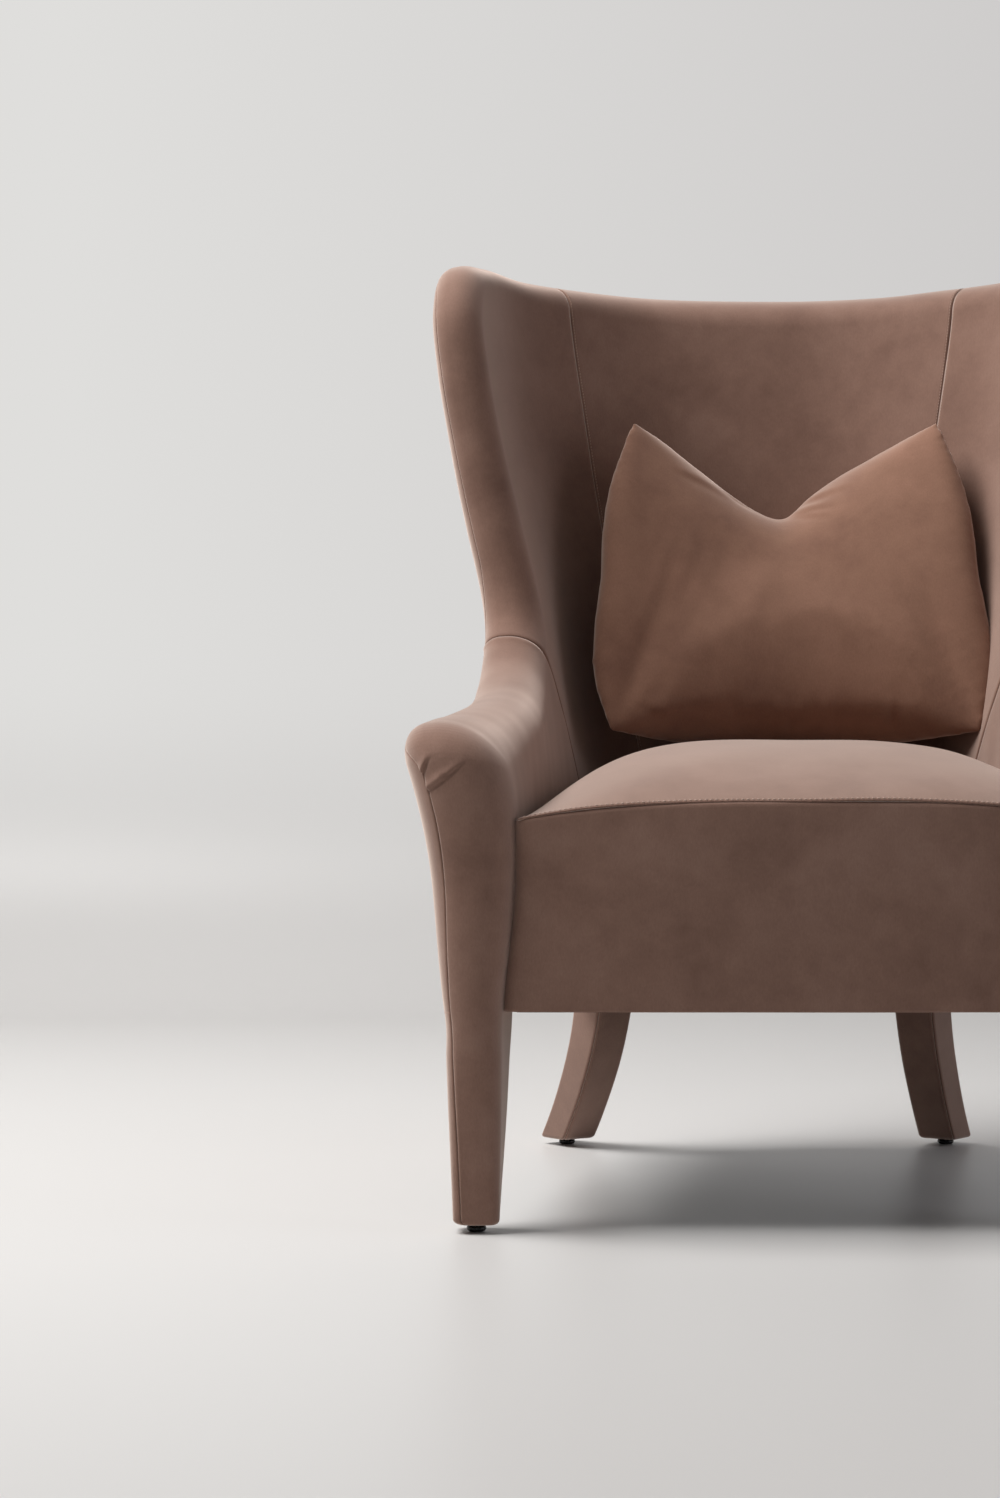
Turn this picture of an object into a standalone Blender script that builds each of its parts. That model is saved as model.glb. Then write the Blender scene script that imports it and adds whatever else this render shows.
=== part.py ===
"""Wingback chair, upholstered in velvet, with a loose scatter cushion.

Metres, +X to the right of someone who faces the chair, +Y to its back, +Z up. The origin is on the floor,
under the middle of the chair's outline.

The arms, wings and back are one bent, padded wall. It is drawn on a flat pattern, the way its cloth is cut:
the first coordinate is the run along the wall, from the arm front to the middle of the back, and the second is
the height. The wall's free edge is a curve on that pattern. The skin rolls over it, so a pattern point beyond
the edge lies on the wall's outer face. The left half is drawn, and the right half is its mirror.
"""

import math

import bmesh
import bpy
import numpy as np
from mathutils import Matrix, Vector

# Overall sizes of the chair
HALF_WIDTH = 0.417
HALF_DEPTH = 0.395
FOOT_Z = 0.008
RAIL_Z = 0.220
DECK_Z = 0.385
SEAM_Z = 0.431
ARM_TOP_Z = 0.512
WAIST_Z = 0.620
WING_Z = 0.870
CREST_Z = 1.050
PATTERN_LENGTH = 0.860
WING_LENGTH = 0.410

# Clearances: between touching pieces, across a sewn seam, and from a board to what hides it
GAP = 0.0003
SEAM_GAP = 0.0010
HIDDEN_GAP = 0.0060

# Thin layers and boards
VELVET = 0.0024
PANEL = 0.0030
ARM_PAD = 0.0180
WING_PAD = 0.0140
BACK_PAD = 0.0270
BOARD = 0.0210
WING_BOARD = 0.0150
CARCASS_TOP_Z = 0.330

# The wall's middle line as shares of the half width and half depth, from arm front to middle of back.
# Rows: rail, seat seam, waist, wing, crest. The last column is the middle of the back.
COLUMN_SHARES = (0.0, 0.235, 0.477, 0.720, 0.860, 1.0)
WALL_X_SHARES = (
    (0.838, 0.722, 0.606, 0.463, 0.245, 0.0),
    (0.866, 0.754, 0.648, 0.496, 0.259, 0.0),
    (1.062, 0.832, 0.731, 0.552, 0.295, 0.0),
    (1.050, 0.928, 0.860, 0.628, 0.332, 0.0),
    (1.010, 0.960, 0.910, 0.668, 0.355, 0.0),
)
WALL_Y_SHARES = (
    (-1.0, -0.460, 0.070, 0.520, 0.625, 0.650),
    (-1.0, -0.460, 0.070, 0.535, 0.665, 0.700),
    (-1.0, -0.460, 0.080, 0.570, 0.730, 0.775),
    (-1.0, -0.460, 0.094, 0.602, 0.805, 0.860),
    (-1.0, -0.460, 0.105, 0.620, 0.855, 0.9175),
)
# Half the wall's thickness as shares of a tenth of a metre, in the same rows and columns
THICKNESS = 0.100
WALL_HALF_SHARES = (
    (0.296, 0.319, 0.325, 0.350, 0.350, 0.350),
    (0.519, 0.434, 0.371, 0.363, 0.359, 0.359),
    (0.550, 0.467, 0.350, 0.350, 0.367, 0.379),
    (0.535, 0.426, 0.311, 0.327, 0.368, 0.394),
    (0.500, 0.375, 0.279, 0.309, 0.367, 0.400),
)
ROLL_SHARE = 2.2

# The free edge. Arm: run as a share of the wing's run, height as a share from the arm top to the waist.
ARM_CORNER = 0.055
ARM_EDGE_SHARES = ((0.30, 0.08), (0.52, 0.22), (0.74, 0.45), (0.89, 0.75), (0.97, 1.05))
# Wing and crest: run as a share of the pattern, height as a share from the waist to the crest
WING_EDGE_SHARES = (
    (0.480, 0.28), (0.478, 0.50), (0.470, 0.70), (0.476, 0.86), (0.515, 0.973),
    (0.590, 1.006), (0.700, 1.003), (0.860, 1.001), (1.0, 1.0),
)
WELT_INSET = 0.016
EDGE_STEPS = 60

# Seams on the pattern: foot of the arm and wing seam, and the seam between wing and back, as shares
ARM_SEAM_FOOT_SHARE = 0.555
BACK_SEAM_FOOT_SHARE = 0.800
ARM_SEAM_EDGE_SHARE = 0.94
BACK_SEAM_EDGE_SHARE = 0.750
REAR_SEAM_FOOT_SHARE = 0.762
ARM_FACE_OFFSET = 0.022
ARM_PAD_COLUMN = 5

# Frame, in the wall. A board lies this far from the free edge and is this wide
ARM_BOARD_INSET = 0.0420
WING_BOARD_INSET = 0.0330
FRAME_WIDTH = 0.0420
POST_OFFSET = 0.0280
POST_DEPTH = 0.0400
POST_NEAR = 0.0105
POST_FAR = 0.0520
POST_TOP_DROP = 0.0560
FRONT_RAIL_SETBACK = 0.0380
FRONT_RAIL_Y = -HALF_DEPTH + FRONT_RAIL_SETBACK
WING_POST_SETBACK = 0.0500
WING_POST_OFFSET = WING_LENGTH + WING_POST_SETBACK
BACK_POST_SHARE = 0.7349
BACK_POST_OFFSET = BACK_POST_SHARE * PATTERN_LENGTH
REAR_LEG_SHARE = 0.7302
REAR_LEG_OFFSET = REAR_LEG_SHARE * PATTERN_LENGTH
LEG_BLOCK_WIDTH = 0.0460
LEG_BLOCK_NEAR = 0.0100
LEG_BLOCK_FAR = 0.0500
LOWER_BACK_Z = 0.4500
BLOCK_Z = 0.2480
BLOCK_HEIGHT = 0.0400
BLOCK_LENGTH = 0.0600
BLOCK_SLACK = 0.0012
SCREW_HEAD = 0.0065
SCREW_HEAD_HEIGHT = 0.0045
SCREW_SHANK = 0.0030
SCREW_LENGTH = 0.0600
WEBBING_WIDTH = 0.0500
WEBBING = 0.0015
WEBBING_SHARES = (0.14, 0.46, 0.78)

# Front legs
LEG_FOOT_X = 0.3405
LEG_HALF_FOOT = 0.0235
LEG_FOOT_DEPTH = 0.0460
LEG_TOP_DEPTH = 0.0720
LEG_CORNER = 0.0100
LEG_COVER = 0.0024
LEG_HEM = 0.0090
LEG_ROUND = 0.0060
LEG_CHAMFER = 0.0030
LEG_SETBACK = 0.0020
LEG_RUN_SHARES = (-1, -0.915, -0.34, -0.14, -0.035, 0.035, 0.14, 0.34, 0.915, 1)
LEG_HEIGHT_SHARES = (0, 0.16, 0.36, 0.58, 0.80, 1.0)

# Rear legs, square in section and turned
REAR_FOOT_X = 0.2340
REAR_TOP_X = 0.1900
REAR_TOP_SETBACK = 0.0076
REAR_SPLAY_LENGTH = 0.0930
REAR_TOP_Y = HALF_DEPTH * WALL_Y_SHARES[0][3] + REAR_TOP_SETBACK
REAR_FOOT_Y = REAR_TOP_Y + REAR_SPLAY_LENGTH
REAR_HALF = 0.0265
REAR_TURN_DEGREES = 36.0
REAR_BEND_SHARE = 1.75
REAR_CORNER_SHARE = 0.6
REAR_FOOT_SHARE = 0.94

# Glides
GLIDE_RADIUS = 0.0100
GLIDE_BULGE_Z = 0.0030
GLIDE_FLAT = 0.0068
GLIDE_NECK = 0.0072
GLIDE_PIN = 0.0016
GLIDE_PIN_LENGTH = 0.0150
GLIDE_STEPS = 14

# Seat
SEAT_HALF_FRONT = 0.3050
SEAT_SETBACK = 0.0160
SEAT_FRONT_Y = -HALF_DEPTH + SEAT_SETBACK
SEAT_BOW = 0.0090
SEAT_CORNER = 0.0120
SEAM_END_DROP = 0.0180
CROWN = 0.0640
CROWN_SETBACK = 0.2950
CROWN_Y = -HALF_DEPTH + CROWN_SETBACK
CROWN_SHARE = 4.0
SEAT_BORDER = 0.0060
SEAT_SIDE_START = 0.0260
SEAT_BACK_SHARE = 0.7035
SEAT_BACK_CORNER = SEAT_BACK_SHARE * PATTERN_LENGTH
CROWN_FALL_SHARE = 0.62
SEAT_SKIRT = 0.0260
BURLAP = 0.0015
DUST_CLOTH = 0.0012
DUST_INSET = 0.0080
SPRING_WIRE = 0.0020
SPRING_HALF_WIDTH = 0.0240
SPRING_COUNT = 4
SPRING_BENDS = 10
SPRING_PITCH_SHARE = 0.2326
SPRING_PITCH = SPRING_PITCH_SHARE * HALF_WIDTH

# Scatter cushion
CUSHION_HALF_WIDTH = 0.2300
CUSHION_WIDTH_SHARES = (0.94, 1.01, 0.975, 0.94, 0.80)
CUSHION_KNOT_SHARES = (-1.0, -0.70, 0.0, 0.45, 1.0)
CUSHION_HALF_HEIGHT = 0.2170
CUSHION_HALF_THICK = 0.0720
CUSHION_X = 0.0090
CUSHION_SETBACK = 0.1045
CUSHION_Y = HALF_DEPTH * WALL_Y_SHARES[2][-1] - CUSHION_SETBACK
CUSHION_Z = 0.6856
CUSHION_LEAN_DEGREES = -18.0
CHOP_DEPTH = 0.1120
CHOP_SHARE = 1.15
CUSHION_COVER = 0.0016
CUSHION_ROWS = 10
CUSHION_CURL = 0.0800
FILLING_MARGIN_SHARE = 0.04
FILLING_SLACK = 0.0030

# Finishes: colour, roughness, metallic
VELVET_LOOK = ((0.262, 0.150, 0.112), 0.85, 0.0)
WOOD_LOOK = ((0.550, 0.390, 0.240), 0.60, 0.0)
FOAM_LOOK = ((0.850, 0.800, 0.620), 0.90, 0.0)
WADDING_LOOK = ((0.900, 0.890, 0.860), 0.95, 0.0)
STEEL_LOOK = ((0.450, 0.450, 0.460), 0.35, 1.0)
BURLAP_LOOK = ((0.480, 0.370, 0.230), 0.95, 0.0)
WEBBING_LOOK = ((0.320, 0.270, 0.200), 0.90, 0.0)
CLOTH_LOOK = ((0.020, 0.020, 0.021), 0.90, 0.0)
GLIDE_LOOK = ((0.012, 0.012, 0.013), 0.25, 0.0)

LEVELS = (RAIL_Z, SEAM_Z, WAIST_Z, WING_Z, CREST_Z)


def clear_scene():
    for obj in list(bpy.data.objects):
        bpy.data.objects.remove(obj)


def new_collection(name):
    collection = bpy.data.collections.new(name)
    bpy.context.scene.collection.children.link(collection)
    return collection


def material(name, look):
    colour, roughness, metallic = look
    made = bpy.data.materials.new(name)
    made.use_nodes = True
    shader = made.node_tree.nodes["Principled BSDF"]
    shader.inputs["Base Color"].default_value = (*colour, 1.0)
    shader.inputs["Roughness"].default_value = roughness
    shader.inputs["Metallic"].default_value = metallic
    made.diffuse_color = (*colour, 1.0)
    return made


def add_object(name, mesh, look, collection):
    obj = bpy.data.objects.new(name, mesh)
    mesh.materials.append(material(f"{name}_finish", look))
    collection.objects.link(obj)
    return obj


# Curves and the wall


def weights(knots, at):
    """For each value of `at`, how much each knot's value counts on a smooth curve through them all."""
    knots = np.asarray(knots, float)
    at = np.atleast_1d(np.asarray(at, float))
    unit = np.eye(len(knots))
    slopes = np.gradient(unit, knots, axis=0)
    held = np.clip(at, knots[0], knots[-1])
    i = np.clip(np.searchsorted(knots, held) - 1, 0, len(knots) - 2)
    span = (knots[i + 1] - knots[i])[:, None]
    t = (held - knots[i])[:, None] / span
    curve = (
        (1 + 2 * t) * (1 - t) ** 2 * unit[i]
        + t * (1 - t) ** 2 * span * slopes[i]
        + t * t * (3 - 2 * t) * unit[i + 1]
        + t * t * (t - 1) * span * slopes[i + 1]
    )
    end = np.where(at > knots[-1], len(knots) - 1, 0)
    return curve + (at - held)[:, None] * slopes[end]


def mirrored(shares, sign):
    """A table's rows continued past the middle of the back."""
    return np.array([list(row) + [sign * v for v in row[-2::-1]] for row in shares])


COLUMNS = PATTERN_LENGTH * np.array(list(COLUMN_SHARES) + [2 - s for s in COLUMN_SHARES[-2::-1]])
WALL_X = -HALF_WIDTH * mirrored(WALL_X_SHARES, -1)
WALL_Y = HALF_DEPTH * mirrored(WALL_Y_SHARES, 1)
WALL_HALF = THICKNESS * mirrored(WALL_HALF_SHARES, 1)


def wall_values(tables, run, z):
    across = weights(COLUMNS, run)
    up = weights(LEVELS, z)
    return [np.einsum("nl,lc,nc->n", up, table, across) for table in tables]


def wall_frame(pattern):
    """Middle of the wall, its half thickness and its inward direction, at points of the pattern."""
    run, z = pattern[:, 0], pattern[:, 1]
    step = PATTERN_LENGTH * 1e-4
    x, y, half = wall_values((WALL_X, WALL_Y, WALL_HALF), run, z)
    x2, y2 = wall_values((WALL_X, WALL_Y), run + step, z)
    x1, y1 = wall_values((WALL_X, WALL_Y), run - step, z)
    inward = np.stack([y2 - y1, x1 - x2, np.zeros_like(x)], axis=1)
    inward /= np.linalg.norm(inward, axis=1)[:, None]
    return np.stack([x, y, z], axis=1), half, inward


def smooth_path(points, steps):
    """Points along a smooth curve through the given ones, with their share of its length."""
    points = np.asarray(points, float)
    knots = np.concatenate([[0], np.cumsum(np.linalg.norm(np.diff(points, axis=0), axis=1))])
    fine = weights(knots, np.linspace(0, knots[-1], 8 * steps)) @ points
    length = np.concatenate([[0], np.cumsum(np.linalg.norm(np.diff(fine, axis=0), axis=1))])
    return fine, length


def edge_points():
    """The wall's free edge: up the arm front, along the arm, up the wing and along the crest."""
    turn = [math.radians(a) for a in (0, 22, 45, 68, 90)]
    centre = (ARM_CORNER, ARM_TOP_Z - ARM_CORNER)
    points = [(0, 0), (0, RAIL_Z / 2), (0, RAIL_Z), (0, (RAIL_Z + centre[1]) / 2)]
    points += [(centre[0] - ARM_CORNER * math.cos(a), centre[1] + ARM_CORNER * math.sin(a)) for a in turn]
    points += [(r * WING_LENGTH, ARM_TOP_Z + h * (WAIST_Z - ARM_TOP_Z)) for r, h in ARM_EDGE_SHARES]
    points += [(r * PATTERN_LENGTH, WAIST_Z + h * (CREST_Z - WAIST_Z)) for r, h in WING_EDGE_SHARES]
    return points + [(2 * PATTERN_LENGTH - r, z) for r, z in points[-2:-9:-1]]


EDGE, EDGE_LENGTH = smooth_path(edge_points(), EDGE_STEPS)


def edge_at(lengths):
    """Points on the free edge at these distances along it, and the direction into the wall there."""
    lengths = np.asarray(lengths, float)
    place = np.stack([np.interp(lengths, EDGE_LENGTH, EDGE[:, k]) for k in (0, 1)], axis=1)
    reach = EDGE_LENGTH[-1] / len(EDGE)
    ahead = np.stack([np.interp(lengths + reach, EDGE_LENGTH, EDGE[:, k]) for k in (0, 1)], axis=1)
    behind = np.stack([np.interp(lengths - reach, EDGE_LENGTH, EDGE[:, k]) for k in (0, 1)], axis=1)
    along = ahead - behind
    along /= np.linalg.norm(along, axis=1)[:, None]
    return place, np.stack([along[:, 1], -along[:, 0]], axis=1)


def length_where(coordinate, value, start):
    """Distance along the free edge at which a coordinate first passes the value, after `start`."""
    after = np.nonzero((EDGE_LENGTH > start) & (EDGE[:, coordinate] >= value))[0][0]
    low, high = EDGE[after - 1, coordinate], EDGE[after, coordinate]
    share = (value - low) / (high - low)
    return EDGE_LENGTH[after - 1] + share * (EDGE_LENGTH[after] - EDGE_LENGTH[after - 1])


def nearest_edge(pattern):
    """For each pattern point: signed distance to the free edge, plus inside, and the nearest edge point."""
    start, span = EDGE[:-1], np.diff(EDGE, axis=0)
    reach = pattern[:, None, :] - start[None]
    t = np.clip((reach * span).sum(2) / (span * span).sum(1), 0, 1)
    off = reach - t[..., None] * span
    distance = np.linalg.norm(off, axis=2)
    k = distance.argmin(axis=1)
    rows = np.arange(len(pattern))
    cross = span[k, 0] * off[rows, k, 1] - span[k, 1] * off[rows, k, 0]
    near = start[k] + t[rows, k][:, None] * span[k]
    return np.where(cross <= 0, 1.0, -1.0) * distance[rows, k], near


def skin_points(pattern, outer=False):
    """The padded skin at pattern points. Points past the free edge lie on the outer face."""
    pattern = np.asarray(pattern, float)
    signed, near = nearest_edge(pattern)
    inside = np.where((signed >= 0)[:, None], pattern, 2 * near - pattern)
    middle, half, inward = wall_frame(inside)
    radius = wall_frame(near)[1]
    closeness = 1 - np.clip(np.abs(signed) / radius, 0, 1)
    roll = (1 - closeness**ROLL_SHARE) ** (1 / ROLL_SHARE)
    side = -np.ones_like(signed) if outer else np.sign(signed)
    return middle + (side * half * roll)[:, None] * inward


def skin_normals(pattern, outer=False):
    """Directions out of the cloth at pattern points, from small steps on the pattern."""
    step = PATTERN_LENGTH * 2e-3
    run = np.array([step, 0.0])
    up = np.array([0.0, step])
    along = skin_points(pattern + run, outer) - skin_points(pattern - run, outer)
    rising = skin_points(pattern + up, outer) - skin_points(pattern - up, outer)
    normal = np.cross(rising, along) if outer else np.cross(along, rising)
    return normal / np.linalg.norm(normal, axis=1)[:, None]


# Meshes from rows of points


def mesh_from(name, points, faces):
    mesh = bpy.data.meshes.new(name)
    mesh.from_pydata([tuple(map(float, p)) for p in points], [], faces)
    made = bmesh.new()
    made.from_mesh(mesh)
    bmesh.ops.remove_doubles(made, verts=made.verts, dist=GAP / 100)
    bmesh.ops.recalc_face_normals(made, faces=made.faces)
    if made.calc_volume(signed=True) < 0:
        bmesh.ops.reverse_faces(made, faces=made.faces)
    made.to_mesh(mesh)
    made.free()
    mesh.shade_smooth()
    mesh.set_sharp_from_angle(angle=math.radians(35))
    return mesh


def grid_faces(rows, columns, offset=0, flip=False):
    """Triangles over a grid, all cut along the same diagonal so that neighbouring layers match."""
    faces = []
    for i in range(rows - 1):
        for j in range(columns - 1):
            a = offset + i * columns + j
            across = a + columns + 1
            pair = [[a, a + 1, across], [a, across, a + columns]]
            faces += [face[::-1] if flip else face for face in pair]
    return faces


def slab(name, front, back):
    """A closed sheet between two grids of points of the same shape."""
    rows, columns = front.shape[:2]
    count = rows * columns
    points = np.concatenate([front.reshape(-1, 3), back.reshape(-1, 3)])
    faces = grid_faces(rows, columns) + grid_faces(rows, columns, count, flip=True)
    index = np.arange(count).reshape(rows, columns)
    rim = np.concatenate([index[0, :-1], index[:-1, -1], index[-1, :0:-1], index[:0:-1, 0]])
    for a, b in zip(rim, np.roll(rim, -1)):
        faces.append([int(b), int(a), int(a + count), int(b + count)])
    return mesh_from(name, points, faces)


def loft(name, rings):
    """A closed body through rings of points, with flat ends."""
    rings = np.asarray(rings, float)
    count, around = rings.shape[:2]
    faces = [list(range(around))[::-1], [(count - 1) * around + j for j in range(around)]]
    for i in range(count - 1):
        for j in range(around):
            a, b = i * around + j, i * around + (j + 1) % around
            faces.append([a, b, b + around, a + around])
    return mesh_from(name, rings.reshape(-1, 3), faces)


def shell(name, outer, inner):
    """A tube wall between two lists of rings, open at the top, with a turned-in hem at the bottom."""
    outer, inner = np.asarray(outer, float), np.asarray(inner, float)
    loop = np.concatenate([outer, inner[::-1]])
    count, around = loop.shape[:2]
    faces = []
    for i in range(count):
        for j in range(around):
            a, b = i * around + j, i * around + (j + 1) % around
            c, d = (a + around) % (count * around), (b + around) % (count * around)
            faces.append([a, b, d, c])
    return mesh_from(name, loop.reshape(-1, 3), faces)


def flip_x(mesh, name):
    """A mirrored copy of a mesh for the right-hand side."""
    copy = mesh.copy()
    copy.name = name
    made = bmesh.new()
    made.from_mesh(copy)
    bmesh.ops.scale(made, vec=(-1, 1, 1), verts=made.verts)
    bmesh.ops.reverse_faces(made, faces=made.faces)
    made.to_mesh(copy)
    made.free()
    copy.materials.clear()
    return copy


def add_pair(stem, mesh, look, collection):
    """The left piece and its mirrored right piece."""
    right = flip_x(mesh, f"{stem}_right")
    return (
        add_object(f"{stem}_left", mesh, look, collection),
        add_object(f"{stem}_right", right, look, collection),
    )


# Panels of the wall

ROLL_DEGREES = (0, 32, 62, 90)
ROW_SHARE = 1.25
OUTER_ROWS = 7
BULGE_SHARE = 0.4
DECK_SHARE = 1.3


def pattern_panel(lengths, base, inner_rows, outer=False):
    """Pattern points in rows from the free edge to `base`, one column for each length along the edge."""
    edge, into = edge_at(lengths)
    radius = np.minimum(wall_frame(edge)[1], 0.8 * np.linalg.norm(base - edge, axis=1))[:, None]
    if outer:
        rows = [edge + into * (WELT_INSET + SEAM_GAP)]
    else:
        rows = [edge - into * WELT_INSET, edge - into * WELT_INSET * 0.35]
        rows += [edge + into * radius * (1 - math.cos(math.radians(a))) for a in ROLL_DEGREES]
    first = rows[-1]
    bulge = 0 if outer else BULGE_SHARE
    reach = bulge * np.linalg.norm(base - first, axis=1)[:, None]
    for t in (np.arange(1, inner_rows + 1) / inner_rows) ** ROW_SHARE:
        start, lift, end = 2 * t**3 - 3 * t**2 + 1, t**3 - 2 * t**2 + t, 3 * t**2 - 2 * t**3
        rows.append(start * first + lift * reach * into + end * base)
    return np.stack(rows)


def offset_grids(pattern, depths, outer=False):
    """Skin grids at the given depths under the cloth's face."""
    rows, columns = pattern.shape[:2]
    flat = pattern.reshape(-1, 2)
    points, normals = skin_points(flat, outer), skin_normals(flat, outer)
    return [(points - depth * normals).reshape(rows, columns, 3) for depth in depths]


ARM_START = length_where(1, RAIL_Z + SEAM_GAP, 0)
CORNER_START = length_where(1, ARM_TOP_Z - ARM_CORNER, 0)
CORNER_END = length_where(0, ARM_CORNER, CORNER_START)
ARM_END = length_where(1, ARM_TOP_Z + ARM_SEAM_EDGE_SHARE * (WAIST_Z - ARM_TOP_Z), CORNER_START)
BACK_SEAM = length_where(0, BACK_SEAM_EDGE_SHARE * PATTERN_LENGTH, ARM_END)
MIDDLE = length_where(0, PATTERN_LENGTH, BACK_SEAM)
SEAM_FOOT = (ARM_SEAM_FOOT_SHARE * PATTERN_LENGTH, DECK_Z)
BACK_SEAM_FOOT = (BACK_SEAM_FOOT_SHARE * PATTERN_LENGTH, DECK_Z)
REAR_SEAM_OFFSET = REAR_SEAM_FOOT_SHARE * PATTERN_LENGTH
OVER_CORNER = np.linspace(CORNER_START, CORNER_END, 4)
OVER_ARM = np.linspace(CORNER_END, ARM_END, 8)
OVER_WING = np.linspace(ARM_END, BACK_SEAM, 14)
OVER_BACK = np.linspace(BACK_SEAM, 2 * MIDDLE - BACK_SEAM, 9)


def inset_ends(values, gap):
    """The same values with the first and the last drawn in by half a gap."""
    drawn = np.array(values, float)
    drawn[0] += gap / 2
    drawn[-1] -= gap / 2
    return drawn


def arm_panel():
    """Inside arm and arm front, one piece of cloth."""
    face = np.linspace(ARM_START, CORNER_START, 5)[:-1]
    lengths = np.concatenate([face, OVER_CORNER[:-1], OVER_ARM])
    lengths[-1] -= SEAM_GAP / 2
    heights = edge_at(face)[0][:, 1]
    base = [(ARM_FACE_OFFSET, min(z, DECK_Z)) for z in heights[heights < DECK_Z]]
    spread = np.linspace(0, 1, len(lengths) - len(base))[:, None] ** DECK_SHARE
    deck = (1 - spread) * (ARM_FACE_OFFSET, DECK_Z) + spread * SEAM_FOOT
    deck[-1, 0] -= SEAM_GAP / 2
    return pattern_panel(lengths, np.concatenate([base, deck]), 3)


def wing_panel():
    base = np.linspace(SEAM_FOOT, BACK_SEAM_FOOT, len(OVER_WING))
    base[:, 0] = inset_ends(base[:, 0], SEAM_GAP)
    return pattern_panel(inset_ends(OVER_WING, SEAM_GAP), base, 5)


def back_base(foot_run, z):
    runs = inset_ends(np.linspace(foot_run, 2 * PATTERN_LENGTH - foot_run, len(OVER_BACK)), SEAM_GAP)
    return np.stack([runs, np.full(len(runs), z)], axis=1)


def back_panel():
    """Inside back, from seam to seam."""
    return pattern_panel(inset_ends(OVER_BACK, SEAM_GAP), back_base(*BACK_SEAM_FOOT), 5)


def outside_panel():
    """Outside arm and wing, one piece of cloth on the outer face."""
    lengths = np.concatenate([OVER_CORNER[:-1], OVER_ARM[:-1], inset_ends(OVER_WING, SEAM_GAP)])
    arm_share = np.clip(edge_at(lengths)[0][:, 0] / WING_LENGTH, 0, 1)
    fan = (np.arange(len(lengths)) / (len(lengths) - 1)) ** 2
    first, last = WELT_INSET + SEAM_GAP, REAR_SEAM_OFFSET - SEAM_GAP / 2
    runs = first + (last - first) * (arm_share * WING_LENGTH / REAR_SEAM_OFFSET * (1 - fan) + fan)
    base = np.stack([runs, np.full(len(runs), RAIL_Z + SEAM_GAP)], axis=1)
    return pattern_panel(lengths, base, OUTER_ROWS, outer=True)


def outside_back_panel():
    lengths = inset_ends(OVER_BACK, SEAM_GAP)
    return pattern_panel(lengths, back_base(REAR_SEAM_OFFSET, RAIL_Z + SEAM_GAP), OUTER_ROWS, outer=True)


def build_wall(collection):
    """The cloth panels of arms, wings and back, and the pads under them."""
    under = VELVET + GAP
    arm, wing, back = arm_panel(), wing_panel(), back_panel()
    for stem, pattern, pad, first in (("arm", arm, ARM_PAD, ARM_PAD_COLUMN), ("wing", wing, WING_PAD, 0)):
        cloth = offset_grids(pattern, (0, VELVET))
        padding = offset_grids(pattern[2:, first:], (under, under + pad))
        add_pair(f"inside_{stem}", slab(f"inside_{stem}", *cloth), VELVET_LOOK, collection)
        add_pair(f"{stem}_pad", slab(f"{stem}_pad", *padding), WADDING_LOOK, collection)
    cloth, padding = offset_grids(back, (0, VELVET)), offset_grids(back[2:], (under, under + BACK_PAD))
    add_object("inside_back", slab("inside_back", *cloth), VELVET_LOOK, collection)
    add_object("back_pad", slab("back_pad", *padding), WADDING_LOOK, collection)
    outside = offset_grids(outside_panel(), (0, PANEL), outer=True)
    add_pair("outside_panel", slab("outside_panel", *outside), VELVET_LOOK, collection)
    rear = offset_grids(outside_back_panel(), (0, PANEL), outer=True)
    add_object("outside_back", slab("outside_back", *rear), VELVET_LOOK, collection)


# Frame


def in_wall(pattern, depth):
    """Points inside the wall, at a depth from its outer face."""
    middle, half, inward = wall_frame(np.asarray(pattern, float))
    return middle + (depth - half)[:, None] * inward


def beam(name, path, width, near, far, upright=False):
    """A board that follows a path on the pattern, between two depths from the wall's outer face."""
    path = np.asarray(path, float)
    along = np.gradient(path, axis=0)
    along[-1] = (1, 0) if path[-1, 0] > path[-2, 0] else (0, 1)
    along /= np.linalg.norm(along, axis=1)[:, None]
    across = np.stack([along[:, 1], -along[:, 0]], axis=1)
    if upright:
        across = np.tile([0.0, -1.0], (len(path), 1))
    low, high = path - across * width / 2, path + across * width / 2
    corners = [in_wall(low, near), in_wall(high, near), in_wall(high, far), in_wall(low, far)]
    return loft(name, np.stack(corners, axis=1))


def level_path(start, end, z, steps):
    return np.stack([np.linspace(start, end, steps), np.full(steps, z)], axis=1)


def post_inner_x(z, y):
    """Where the front rail meets the inner face of the post."""
    box = wall_box(POST_OFFSET, POST_OFFSET + POST_DEPTH, z, POST_NEAR, POST_FAR + GAP)
    return float(np.interp(y, (box[3][1], box[2][1]), (box[3][0], box[2][0])))


def rail_path(start, end, z):
    """A level path with a point where each corner block ends."""
    middle = np.linspace(start + BLOCK_LENGTH, end - BLOCK_LENGTH, 5)
    runs = np.concatenate([[start], middle, [end]])
    return np.stack([runs, np.full(len(runs), z)], axis=1)


def prism(name, outline, low, high):
    """An upright body over a plan outline."""
    outline = np.asarray(outline, float)
    rings = [np.column_stack([outline[:, :2], np.full(len(outline), z)]) for z in (low, high)]
    return loft(name, rings)


def quad_ring(corners, radius):
    """Twelve points around four corners, three on each rounded corner."""
    corners = np.asarray(corners, float)
    ring = []
    for k in range(4):
        before, here, after = corners[k - 1], corners[k], corners[(k + 1) % 4]
        back = (before - here) / np.linalg.norm(before - here)
        forth = (after - here) / np.linalg.norm(after - here)
        ring += [here + radius * back, here + radius * 0.29 * (back + forth), here + radius * forth]
    return np.array(ring)


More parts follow.
